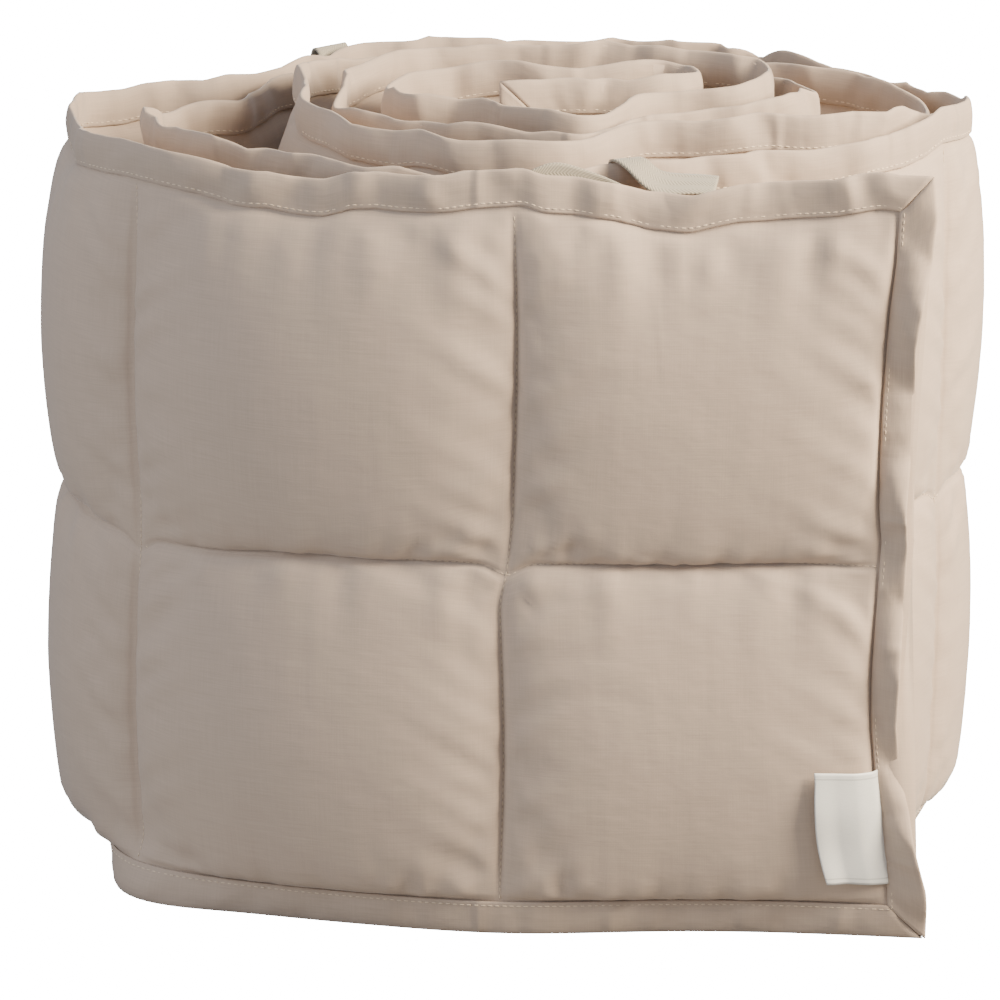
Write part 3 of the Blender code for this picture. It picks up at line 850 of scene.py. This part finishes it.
class Puckers:
    """What sets each blown up pad apart from the even one: its own wrinkles, zero on the seams."""

    def __init__(self, cell):
        self.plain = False
        if self.plain:
            return
        heights = blow_up_patch(cell)
        self.columns = (heights.shape[0] - 1) // PATCH_CELLS
        self.rows = (heights.shape[1] - 1) // 2
        pads = [
            heights[i * self.columns : (i + 1) * self.columns + 1, j * self.rows : (j + 1) * self.rows + 1]
            for i in range(PATCH_CELLS)
            for j in range(2)
        ]
        mean = sum(pads) / len(pads)
        even = (mean + mean[::-1] + mean[:, ::-1] + mean[::-1, ::-1]) / 4
        self.pads = np.array([pad - even for pad in pads])

    def __call__(self, pad, across, up):
        """How far out the wrinkles of the pad of this number stand here."""
        if self.plain:
            return np.zeros_like(across)
        pad = pad % len(self.pads)
        i, j = np.clip(across, 0, 1) * self.columns, np.clip(up, 0, 1) * self.rows
        low_i = np.minimum(i.astype(int), self.columns - 1)
        low_j = np.minimum(j.astype(int), self.rows - 1)
        part_i, part_j = i - low_i, j - low_j
        near, far = (
            self.pads[pad, k, low_j] * (1 - part_j) + self.pads[pad, k, low_j + 1] * part_j
            for k in (low_i, low_i + 1)
        )
        return near * (1 - part_i) + far * part_i


def seam_shares(steps):
    """Shares of a pad's side, closer together by its seams."""
    even = np.linspace(0, 1, steps + 1)
    bunched = (1 - np.cos(math.pi * even)) / 2
    return 0.55 * even + 0.45 * bunched


def crown_across(share):
    """The pad's crown from one upright seam to the next: a low dome with steep sides."""
    aside = np.abs(2 * share - 1)
    return 0.55 * (1 - aside**3.2) ** 0.40 + 0.45 * (1 - aside**2)


def crown_up(share, top_row):
    """The pad's crown up its row: steep at its lower seam and where another pad hangs over its top, and easier
    under the top binding."""
    below = 1 - np.clip(share / 0.50, 0, 1)
    low = 0.55 * (1 - below**2.1) ** 0.28 + 0.45 * (1 - below**2)
    near_top = np.clip((share - 0.42) / 0.58, 0, 1)
    steep = 0.60 * (1 - near_top**3.0) ** 0.30 + 0.40 * (1 - near_top**2)
    high = np.where(top_row, (1 - near_top**2.4) ** 0.62, steep)
    return low * high


def beside_seam(distance, reach):
    """0 on a seam, 1 this far from it, and fading beyond."""
    near = np.clip(distance, 0, None) / reach
    return near * np.exp(1 - near)


def seam_puckers(along, height, across, up, side):
    """The short tucks that sewing gathers into the cloth along the seams, in metres out."""
    seed = 61 if side > 0 else 71
    level = Ripple(seed, 0.009, 0.030, 9)
    tight = Ripple(seed + 1, 0.006, 0.014, 7)
    upright = Ripple(seed + 2, 0.010, 0.036, 8)
    top = beside_seam(1 - up, 0.060) * level(along) * 0.95
    low = beside_seam(up, 0.035) * (tight(along + 0.5) * 0.55 + level(along + 0.9) * 0.55)
    left = beside_seam(1 - across, 0.055) * upright(height + along * 0.7) * 0.85
    right = beside_seam(across, 0.055) * upright(height - along * 0.7 + 0.4) * 0.85
    return (top + low + left + right) * MM


def pad_folds(along, height):
    """The folds listed for the outer face, in metres out."""
    total = np.zeros_like(along)
    for fold in PAD_FOLDS:
        east = -(along - fold.along * MM)
        north = height - fold.height * MM
        turn = math.radians(fold.slope)
        lengthwise = (east * math.cos(turn) + north * math.sin(turn)) / (fold.length / 2 * MM)
        crosswise = (north * math.cos(turn) - east * math.sin(turn)) / (fold.width / 2 * MM)
        total = total - 0.8 * fold.depth * MM * bell(np.hypot(lengthwise, crosswise))
    return total


def overhang(along, rows, across):
    """How far the filling pushes a pad's edge up or down over the seam beside it, in uneven scallops: the upper
    pad's hangs down over the middle seam, and the lower pad's swells up to meet it."""
    scallops = 1 + 0.05 * Ripple(81, 0.007, 0.024, 9)(along)
    upper = rows >= 1
    hang = np.where(upper, MIDDLE_HANG * beside_seam(rows - 1, 0.110), LOW_HANG * beside_seam(rows, 0.080))
    swell = np.where(upper, TOP_SWELL * beside_seam(2 - rows, 0.050), MIDDLE_SWELL * beside_seam(1 - rows, 0.110))
    return (swell - hang * scallops) * MM * crown_across(across) ** 0.6


def pad_surface(roll, puckers, along, height, side):
    """(height, distance out) of the pads' face there, crowned and flattened where the next turn is near. Without
    puckers it is the even crown."""
    run = roll.cell_run(along)
    cell = run.astype(int)
    across = run % 1
    rows = np.clip(roll.rows_up(along, height), 0.0, 2 - 1e-6)
    up = rows % 1
    full = sizes().pad_puff * roll.squeeze(along, "puff")
    puff = full * crown_across(across) * crown_up(up, rows >= 1)
    number = cell * 2 + rows.astype(int) if side > 0 else cell * 6 + rows.astype(int) + 5
    from_seam = np.minimum(np.minimum(across, 1 - across), np.minimum(up, 1 - up)) * roll.cell
    loose = 0.22 + 0.78 * bell(from_seam / 0.017)
    if puckers:
        wrinkles = puckers(number, across if side > 0 else 1 - across, up) * sizes().pucker_share * loose
        wrinkles = wrinkles + seam_puckers(along, height, across, up, side)
        if side > 0:
            wrinkles = wrinkles + pad_folds(along, height)
            under_label = ease((0.052 - along) / 0.010) * ease((0.080 - height) / 0.010)
            wrinkles = wrinkles * (1 - 0.9 * under_label)
        puff = puff + wrinkles * np.clip(puff / (0.35 * full), 0, 1)
    edge = roll.inset - 1e-6
    within = (height > edge) & (height < roll.rim(along) - edge) & (along > edge) & (along < roll.length - edge)
    limit = np.maximum(roll.room(along, side) - 1.0 * MM - TONGUE_HALF, 0.2 * MM)
    stands = np.where(within, (np.maximum(puff, 1e-6) ** -5 + limit**-5) ** -0.2, 0.0)
    low_hang = roll.squeeze(along, "hang") * (1 - ease(rows / 0.45)) * (side > 0)
    hang = (overhang(along, rows, across) - low_hang) * np.clip(stands / sizes().pad_puff, 0, 1)
    return height + hang * within, TONGUE_HALF + stands


def quilt_columns(roll):
    """Lengths along the strip of the quilt's columns, finer in the outer turn."""
    stops = [TONGUE_END, (TONGUE_END + roll.inset) / 2]
    for cell in range(roll.cells):
        steps = sizes().outer_steps if cell < OUTER_CELLS else sizes().inner_steps
        start = roll.inset + cell * roll.cell
        stops += list(start + roll.cell * seam_shares(steps)[:-1])
    last = roll.length - roll.inset
    stops += [last, (last + roll.length - TONGUE_END) / 2, roll.length - TONGUE_END]
    return np.array(stops)


def end_bulge(roll, along, height, out):
    """How far along the last pads bulge over the stitches of the end bindings."""
    from_start = (along - roll.inset) / roll.cell
    from_end = (roll.length - roll.inset - along) / roll.cell
    uneven = 1 + 0.35 * Ripple(83, 0.006, 0.022, 8)(height)
    filled = np.clip(out / sizes().pad_puff, 0, 1) * uneven
    beside_label = ease((LABEL_HIGH + 0.008 - height) / 0.006) * ease((height - LABEL_LOW + 0.008) / 0.006)
    starts = beside_seam(from_start, 0.045) * (1 - 0.9 * beside_label)
    return END_BULGE * filled * (beside_seam(from_end, 0.045) - starts)


def seam_knots(roll, along, share):
    """How far the crossing of the seams pulls the cloth down there."""
    run = (along - roll.inset) / roll.cell
    nearest = np.clip(np.rint(run), 0, roll.cells)
    aside = (run - nearest) * roll.cell / KNOT_WIDTH
    held = (nearest > 0) & (nearest < roll.cells)
    return -KNOT_DROP * bell(aside) * bell((share - 0.5) / 0.045) * held


def make_quilt_mesh(roll, puckers):
    outer = np.concatenate([seam_shares(OUTER_ROW_STEPS)[:-1], 1 + seam_shares(OUTER_ROW_STEPS)])
    inner = np.concatenate([seam_shares(LOWER_INNER_STEPS)[:-1], 1 + seam_shares(UPPER_INNER_STEPS)])[::-1]
    # Row shares: -1 is the strip's lower raw edge, 0 to 2 the two rows of pads, and 3 the upper raw edge.
    shares = np.concatenate([[-1.0, -0.5], outer, [2.5, 3.0, 3.0, 2.5], inner, [-0.5, -1.0, -1.0]])
    sides = np.concatenate([np.ones(len(outer) + 4), -np.ones(len(inner) + 4), [1.0]])
    stops = quilt_columns(roll)
    mesh, column, row = flat_grid("bumper_quilt", len(stops) - 1, len(shares) - 1)
    along = stops[column]
    share = shares[row]
    side = sides[row]
    rim = roll.rim(along)
    low, high = roll.inset, rim - roll.inset
    within = roll.height_of(along, np.clip(share, 0, 2))
    below = TONGUE_END + (share + 1) * (low - TONGUE_END)
    above = high + (share - 2) * (rim - TONGUE_END - high)
    height = np.where(share < 0, below, np.where(share > 2, above, within))
    out = np.full(len(along), TONGUE_HALF)
    moved = height.copy()
    for way in (1, -1):
        chosen = side == way
        moved[chosen], out[chosen] = pad_surface(roll, puckers, along[chosen], height[chosen], way)
    between = np.clip(share, 0, 2) / 2
    moved = moved + seam_knots(roll, along, between)
    shifted = along + roll.seam_shift(along, between) + end_bulge(roll, along, height, out)
    places = roll.point(shifted, out * side, moved)
    set_places(mesh, places)
    lay_out_cloth(mesh, along, height)
    shape = bmesh.new()
    shape.from_mesh(mesh)
    bmesh.ops.remove_doubles(shape, verts=shape.verts, dist=1e-6)
    bmesh.ops.holes_fill(shape, edges=[edge for edge in shape.edges if edge.is_boundary], sides=0)
    bmesh.ops.recalc_face_normals(shape, faces=shape.faces)
    shape.to_mesh(mesh)
    shape.free()
    return mesh


class BUMPER_OT_quilt(bpy.types.Operator):
    """Makes the filled strip: two rows of pads, sewn across and along its middle"""

    bl_idname = "bumper.quilt"
    bl_label = "Quilted strip"

    def execute(self, context):
        roll = Roll()
        material = cotton_material("bumper_cotton", tuple(colours().cotton), 0.0006, 0.08)
        piece = add_piece("bumper_quilt", make_quilt_mesh(roll, Puckers(roll.cell)), material)
        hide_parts("quilt_panel")
        return {"FINISHED"}


# ---- The bindings ----

# Half of a folded binding's section, from its turned-in edge round the hem fold up to the top fold: the
# distance out in mm, and the depth below the top fold as a share of the binding's depth.
FOLD_HALF = (
    (0.98, 0.50), (0.98, 0.945), (1.06, 0.985), (1.26, 1.0), (1.46, 0.985), (1.54, 0.945), (1.50, 0.885),
    (1.60, 0.80), (1.76, 0.64), (1.80, 0.48), (1.62, 0.32), (1.24, 0.17), (0.80, 0.065), (0.40, 0.012),
)
BINDING_THICKNESS = 0.45 * MM
BODY_CLEARANCE = 2.9 * MM
MITRE_GAP = 0.15 * MM
MITRE_REACH = 0.035
END_BINDING_STEPS = 150


def binding_grid(name, columns, length, depth):
    """A flat mesh for a binding, and where its vertices belong: how far along the binding, how far out, how deep
    below the top fold and how far along the cloth, from the outer turned-in edge over the fold to the inner one."""
    outer = np.array(FOLD_HALF) * (MM, depth)
    section = np.concatenate([outer, [(0.0, 0.0)], outer[::-1] * (-1, 1)])
    mesh, column, row = flat_grid(name, columns, len(section) - 1)
    return mesh, column / columns * length, section[row, 0], section[row, 1], run_of(section)[row]


def mitred(run, length, deep):
    """Places along a binding with both ends cut on the mitre."""
    start = deep + MITRE_GAP
    along = np.where(run < MITRE_REACH, start + run * (1 - start / MITRE_REACH), run)
    left = length - run
    return np.where(left < MITRE_REACH, length - start - left * (1 - start / MITRE_REACH), along)


def binding_body(along, deep, depth, seed):
    """Extra distance out of the binding's two walls: soft filling out between the stitches, and pulled puckers."""
    across = np.clip(deep / depth, 0, 1)
    belly = np.sin(math.pi * across) ** 1.3
    slanted = along + 0.8 * deep * np.sin(along / 0.034 + seed)
    loose = Ripple(seed, 0.012, 0.060, 8)(along) * 0.25 * MM
    loose = loose + Kinks(seed + 3, 3.2, 0.005, 0.024)(slanted) * 0.75 * MM
    pulls = Ripple(seed + 1, 0.005, 0.012, 8)(along + 0.35 * deep) * 0.18 * MM
    return loose * belly + pulls * bell((across - 0.86) / 0.20)


def long_binding_mesh(roll, name, at_top, step, seed):
    depth = sizes().binding_depth
    mesh, run, out, deep, cloth = binding_grid(name, round(roll.length / step), roll.length, depth)
    along = mitred(run, roll.length, deep)
    wall = np.sign(out)
    body = np.where(wall > 0, *(binding_body(along, deep, depth, seed + more) for more in (0, 5)))
    room = np.where(wall > 0, *(roll.room(along, side) for side in (1, -1)))
    out = out + wall * np.minimum(body, np.maximum(room - BODY_CLEARANCE, 0.0))
    height = roll.rim(along) - deep if at_top else deep + BINDING_THICKNESS / 2
    set_places(mesh, roll.point(along, out, height))
    lay_out_cloth(mesh, along, cloth)
    return mesh


def end_binding_mesh(roll, name, at_start, seed):
    depth = sizes().binding_depth
    fold_at = 0.0 if at_start else roll.length
    rim = float(roll.rim(np.array(fold_at)))
    mesh, run, out, deep, cloth = binding_grid(name, END_BINDING_STEPS, rim, depth)
    height = np.maximum(mitred(run, rim, deep), BINDING_THICKNESS / 2)
    middle = ease(run / 0.03) * ease((rim - run) / 0.03)
    body = np.sign(out) * binding_body(run, deep, depth, seed) * middle
    free = 1 - np.clip(deep / depth, 0, 1)
    if at_start:
        twist = (roll.end_bend(height - 0.9 * deep, "forward") * 1.25 + 2.6 * MM * middle) * free
        along = deep - roll.end_bend(height - 0.5 * deep, "fold") * free
    else:
        twist = Ripple(seed + 2, 0.040, 0.110, 6)(run) * 1.5 * MM * free * middle
        edge = Ripple(seed + 3, 0.030, 0.080, 6)(run + deep) * 0.9 * MM * free * middle
        along = roll.length - deep - edge
    set_places(mesh, roll.point(along, out + body + twist, height))
    lay_out_cloth(mesh, run, cloth)
    return mesh


class BUMPER_OT_bindings(bpy.types.Operator):
    """Makes the four folded bindings, mitred where they meet"""

    bl_idname = "bumper.bindings"
    bl_label = "Bindings"

    def execute(self, context):
        roll = Roll()
        # The bindings' darker colour is painted shade.
        material = cotton_material("bumper_binding_cotton", tuple(colours().binding), 0.0010, 0.55)
        pieces = (
            ("binding_top", long_binding_mesh(roll, "top", True, 0.0024, 21), STRIP_CUT_LENGTH),
            ("binding_bottom", long_binding_mesh(roll, "low", False, 0.0045, 31), STRIP_CUT_LENGTH),
            ("binding_outer_end", end_binding_mesh(roll, "out", True, 41), END_BINDING_CUT_LENGTH),
            ("binding_inner_end", end_binding_mesh(roll, "in", False, 51), END_BINDING_CUT_LENGTH),
        )
        for node, mesh, length in pieces:
            piece = add_piece("bumper_" + node, mesh, material)
            thicken(piece, BINDING_THICKNESS)
            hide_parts(node)
        return {"FINISHED"}


# ---- Thread ----


class Seams:
    """The stitches gathered from the seam lines: the middle of each, and how it is turned."""

    def __init__(self):
        self.middles = []
        self.turns = []

    def sew(self, points, facing):
        """Adds the stitches along a line of points, each lying flat on the cloth that faces that way."""
        lengths = run_of(points)
        pitch, half = sizes().stitch_pitch, sizes().stitch_length / 2
        at = (np.arange(int(lengths[-1] / pitch)) + 0.5) * pitch
        before, after = (follow(at + way * half, lengths, points) for way in (-1, 1))
        run = unit(after - before)
        side = unit(np.cross(follow(at, lengths, facing), run))
        lift = np.cross(run, side)
        self.middles += list((before + after) / 2)
        self.turns += [Matrix(axes).transposed().to_quaternion() for axes in zip(run, side, lift)]

    def piece(self, name, material, slot):
        """One piece with a bead of thread on each stitch."""
        mesh = bpy.data.meshes.new(name)
        mesh.vertices.add(len(self.middles))
        mesh.vertices.foreach_set("co", np.array(self.middles, np.float32).ravel())
        turn = mesh.attributes.new("turn", "QUATERNION", "POINT")
        turn.data.foreach_set("value", np.array([tuple(q) for q in self.turns], np.float32).ravel())
        piece = add_piece(name, mesh, material)
        piece.modifiers.new("Stitches", "NODES").node_group = stitch_nodes(material)


def stitch_nodes(material):
    """Geometry nodes that lay a slim bead of thread, its ends dipping in, on every point."""
    tree = bpy.data.node_groups.new("Stitches", "GeometryNodeTree")
    for way in ("INPUT", "OUTPUT"):
        tree.interface.new_socket(name="Geometry", in_out=way, socket_type="NodeSocketGeometry")
    writer = NodeWriter(tree)
    points = writer.put("NodeGroupInput", {})
    half, width = sizes().stitch_length / 2, sizes().thread_width / 2
    ball = writer.put("GeometryNodeMeshUVSphere", {"Segments": 6, "Rings": 3, "Radius": 1.0})
    lying = writer.put("GeometryNodeTransform", {"Geometry": ball, "Rotation": (0.0, math.pi / 2, 0.0)})
    slim = writer.put("GeometryNodeTransform", {"Geometry": lying, "Scale": (half, width, width * 0.8)})
    bead = writer.put("GeometryNodeSetShadeSmooth", {"Geometry": slim})
    turn = writer.put("GeometryNodeInputNamedAttribute", {"Name": "turn"}, "Attribute", data_type="QUATERNION")
    laid = writer.put("GeometryNodeInstanceOnPoints", {"Points": points, "Instance": bead, "Rotation": turn})
    real = writer.put("GeometryNodeRealizeInstances", {0: laid})
    return writer.finish({0: writer.put("GeometryNodeSetMaterial", {"Geometry": real, "Material": material})})


STITCH_FROM_EDGE = 1.5 * MM
CHANNEL_LIFT = TONGUE_HALF + 0.15 * MM
BINDING_LIFT = 1.74 * MM
SHORT_SEAM_POINTS = 90
LONG_SEAM_POINTS = 1600


def sewn_line(roll, along, out, height, side):
    """(points, facing) of a seam line on one face of the strip."""
    along, out, height = together(along, out, height)
    points = roll.point(along, out * side, height)
    flat = roll.outward(along) * side
    return points, np.concatenate([flat, np.zeros((len(flat), 1))], axis=1)


def channel_seams(roll):
    """The lines that part the pads: one across at each pad's end, and one along the middle."""
    seams = Seams()
    share = np.linspace(0, 1, SHORT_SEAM_POINTS)
    for side in (1, -1):
        for cell in range(1, roll.cells):
            along = np.full(SHORT_SEAM_POINTS, roll.inset + cell * roll.cell)
            heights = roll.height_of(along, share * 2) + seam_knots(roll, along, share)
            seams.sew(*sewn_line(roll, along + roll.seam_shift(along, share), CHANNEL_LIFT, heights, side))
        along = np.linspace(roll.inset, roll.length - roll.inset, LONG_SEAM_POINTS)
        heights = roll.middle_seam(along) + seam_knots(roll, along, 0.5)
        seams.sew(*sewn_line(roll, along, CHANNEL_LIFT, heights, side))
    return seams


def binding_seams(roll):
    """The line of stitches that holds each binding down, near its inner edge."""
    seams = Seams()
    depth = sizes().binding_depth - STITCH_FROM_EDGE
    for side in (1, -1):
        along = np.linspace(depth, roll.length - depth, LONG_SEAM_POINTS)
        for height in (roll.rim(along) - depth, depth + BINDING_THICKNESS / 2):
            seams.sew(*sewn_line(roll, along, BINDING_LIFT, height, side))
        for fold_at, at in ((0.0, depth), (roll.length, roll.length - depth)):
            rim = float(roll.rim(np.array(fold_at)))
            heights = np.linspace(depth, rim - depth, SHORT_SEAM_POINTS)
            seams.sew(*sewn_line(roll, at, BINDING_LIFT, heights, side))
    return seams


class BUMPER_OT_thread(bpy.types.Operator):
    """Sews the channels between the pads and the bindings' inner edges, stitch by stitch"""

    bl_idname = "bumper.thread"
    bl_label = "Thread"

    def execute(self, context):
        roll = Roll()
        material = thread_material(tuple(colours().thread))
        channel_seams(roll).piece("bumper_channel_thread", material, "quilt_cotton")
        binding_seams(roll).piece("bumper_binding_thread", material, "binding_cotton")
        return {"FINISHED"}


# ---- Ties and label ----


def tape_mesh(name, near, far):
    """A flat tape between two smooth edges."""
    near, far = spline_through(near, TAPE_STEPS), spline_through(far, TAPE_STEPS)
    mesh, column, row = flat_grid(name, len(near) - 1, TAPE_ROWS)
    share = (row / TAPE_ROWS)[:, None]
    set_places(mesh, near[column] * (1 - share) + far[column] * share)
    run = run_of((near + far) / 2)
    width = float(np.linalg.norm(far - near, axis=1).mean())
    lay_out_cloth(mesh, run[column], row / TAPE_ROWS * width)
    return mesh, (width, float(run[-1]))


def table_places(sections):
    """The near and far edges of a tape table, in metres in the part's frame."""
    places = (np.array(sections) - (*ROUTE_MIDDLE, 0.0)) * MM
    return places[:, 0], places[:, 1]


def back_tie_places(roll):
    place = np.array(TIE_BACK_PLACE) * MM
    centre = roll.lengths[np.argmin(np.linalg.norm(roll.points - place, axis=1))] + TIE_BACK_SHIFT
    out, height = np.array(TIE_BACK).T
    return [roll.point(centre + way * TIE_BACK_HALF_WIDTH, out, height - TIE_BACK_DROP) for way in (-1, 1)]


class BUMPER_OT_ties(bpy.types.Operator):
    """Makes the three tape ties that show"""

    bl_idname = "bumper.ties"
    bl_label = "Ties"

    def execute(self, context):
        roll = Roll()
        material = tape_material(tuple(colours().tape))
        tapes = (
            ("tie_loop", table_places(TIE_LOOP)),
            ("tie_strap", table_places(TIE_STRAP)),
            ("tie_back", back_tie_places(roll)),
        )
        for node, (near, far) in tapes:
            mesh, cut = tape_mesh("bumper_" + node, near, far)
            piece = add_piece("bumper_" + node, mesh, material)
            thicken(piece, TAPE_THICKNESS)
            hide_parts(node)
        return {"FINISHED"}


def label_mesh(roll):
    """The bare label: tucked under the end binding, lying over the corner pad, its free edge lifted a little."""
    columns, rows = 44, 40
    mesh, column, row = flat_grid("bumper_label", columns, rows)
    share = column / columns
    up = row / rows
    height = LABEL_LOW + up * (LABEL_HIGH - LABEL_LOW) + 2.2 * MM * share
    bow = 1.6 * MM * np.sin(math.pi * np.clip(up + 0.10, 0, 1)) - 2.2 * MM * (1 - up) ** 2
    along = LABEL_FROM_END - LABEL_TUCKED + share * (LABEL_WIDTH + LABEL_TUCKED + bow)
    crown = pad_surface(roll, None, np.maximum(along + 1.5 * MM, roll.inset + 0.5 * MM), height, 1)[1]
    free = 1.2 * MM * ease((share - 0.10) / 0.30) + 2.0 * MM * ease((share - 0.65) / 0.35) * (1.3 - up)
    lifted = crown + 1.0 * MM + free + 0.5 * MM * np.sin(9 * up + 2) * share
    blend = ease((along - 12.4 * MM) / (1.3 * MM))
    out = 1.10 * MM * (1 - blend) + lifted * blend
    set_places(mesh, roll.point(along, out, height))
    lay_out_cloth(mesh, along - along.min(), up * (LABEL_HIGH - LABEL_LOW))
    return mesh


class BUMPER_OT_label(bpy.types.Operator):
    """Makes the bare satin label at the lower corner"""

    bl_idname = "bumper.label"
    bl_label = "Side label"

    def execute(self, context):
        roll = Roll()
        piece = add_piece("bumper_label", label_mesh(roll), satin_material(tuple(colours().label)))
        thicken(piece, LABEL_THICKNESS)
        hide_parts("side_label")
        return {"FINISHED"}


# ---- Studio ----

CAMERA_PLACE = (-0.01098, -2.59292, 0.97734)
CAMERA_TILT = math.radians(72)
CAMERA_LENS = 251.3
FLOOR_SIDE = 14.0
# The white paper glows only where the camera sees it; on the roll it throws its own plain reflection.
PAPER_GLOW = 18.0
PAPER_COLOUR = (0.15, 0.145, 0.14, 1.0)

# The soft lights: where each hangs, what it points at, its width, its power in watts and its colour.
LIGHTS = table(
    "SoftLight", "name place target width watts colour",
    ("key", (0.92, -0.36, 0.78), (0.02, 0.0, 0.18), 0.55, 56.0, (1.0, 0.862, 0.65)),
    ("fill", (-1.20, -0.85, 0.65), (0.0, 0.0, 0.16), 0.90, 10.0, (0.92, 0.96, 1.0)),
)
SKY_STRENGTH = 0.60
SKY_COLOUR = (0.94, 0.99, 1.10, 1.0)


def paper_material():
    material = bpy.data.materials.new("studio_paper")
    material.use_nodes = True
    writer = NodeWriter(material.node_tree)
    seen = writer.put("ShaderNodeLightPath", {}, "Is Camera Ray")
    writer.wire(material.node_tree.nodes["Principled BSDF"], {
        "Base Color": PAPER_COLOUR,
        "Roughness": 0.9,
        "Emission Color": (1.0, 1.0, 1.0, 1.0),
        "Emission Strength": writer.math("MULTIPLY", seen, PAPER_GLOW),
    })
    return material


class BUMPER_OT_studio(bpy.types.Operator):
    """Sets the floor, the soft lights, the pale surroundings and the camera"""

    bl_idname = "bumper.studio"
    bl_label = "Studio"

    def execute(self, context):
        scene = context.scene
        shape = bmesh.new()
        bmesh.ops.create_grid(shape, x_segments=1, y_segments=1, size=FLOOR_SIDE / 2)
        mesh = bpy.data.meshes.new("studio_floor")
        shape.to_mesh(mesh)
        shape.free()
        mesh.materials.append(paper_material())
        floor = show("studio_floor", mesh)
        scene.world = bpy.data.worlds.new("studio_world")
        scene.world.use_nodes = True
        sky = scene.world.node_tree.nodes["Background"]
        sky.inputs["Color"].default_value = SKY_COLOUR
        sky.inputs["Strength"].default_value = SKY_STRENGTH
        for row in LIGHTS:
            data = bpy.data.lights.new(row.name, "AREA")
            data.size, data.energy, data.color = row.width, row.watts, row.colour
            lamp = show(row.name, data)
            lamp.location = row.place
            aim = Vector(row.target) - Vector(row.place)
            lamp.rotation_euler = aim.to_track_quat("-Z", "Y").to_euler()
        data = bpy.data.cameras.new("studio_camera")
        data.lens = CAMERA_LENS
        data.clip_end = 50.0
        scene.camera = show("studio_camera", data)
        scene.camera.location = CAMERA_PLACE
        scene.camera.rotation_euler = (CAMERA_TILT, 0.0, 0.0)
        return {"FINISHED"}


# ---- Panel and registration ----

OPERATORS = (
    BUMPER_OT_quilt,
    BUMPER_OT_bindings,
    BUMPER_OT_thread,
    BUMPER_OT_ties,
    BUMPER_OT_label,
    BUMPER_OT_studio,
)


class BUMPER_PT_panel(bpy.types.Panel):
    """The bumper's settings and one button for each piece"""

    bl_idname = "BUMPER_PT_panel"
    bl_label = "Crib Bumper"
    bl_space_type = "VIEW_3D"
    bl_region_type = "UI"
    bl_category = "Bumper"

    def draw(self, context):
        for group in (context.scene.bumper_sizes, context.scene.bumper_colours):
            box = self.layout.box()
            for name in group.bl_rna.properties.keys():
                if name not in ("rna_type", "name"):
                    box.prop(group, name)
        for operator in OPERATORS:
            self.layout.operator(operator.bl_idname)


CLASSES = (BumperSizes, BumperColours, *OPERATORS, BUMPER_PT_panel)


def register():
    for item in CLASSES:
        bpy.utils.register_class(item)
    bpy.types.Scene.bumper_sizes = PointerProperty(type=BumperSizes)
    bpy.types.Scene.bumper_colours = PointerProperty(type=BumperColours)


def unregister():
    del bpy.types.Scene.bumper_colours
    del bpy.types.Scene.bumper_sizes
    for item in reversed(CLASSES):
        bpy.utils.unregister_class(item)


def main():
    register()
    bpy.ops.bumper.quilt()
    bpy.ops.bumper.bindings()
    bpy.ops.bumper.thread()
    bpy.ops.bumper.ties()
    bpy.ops.bumper.label()
    bpy.ops.bumper.studio()


if __name__ == "__main__":
    main()
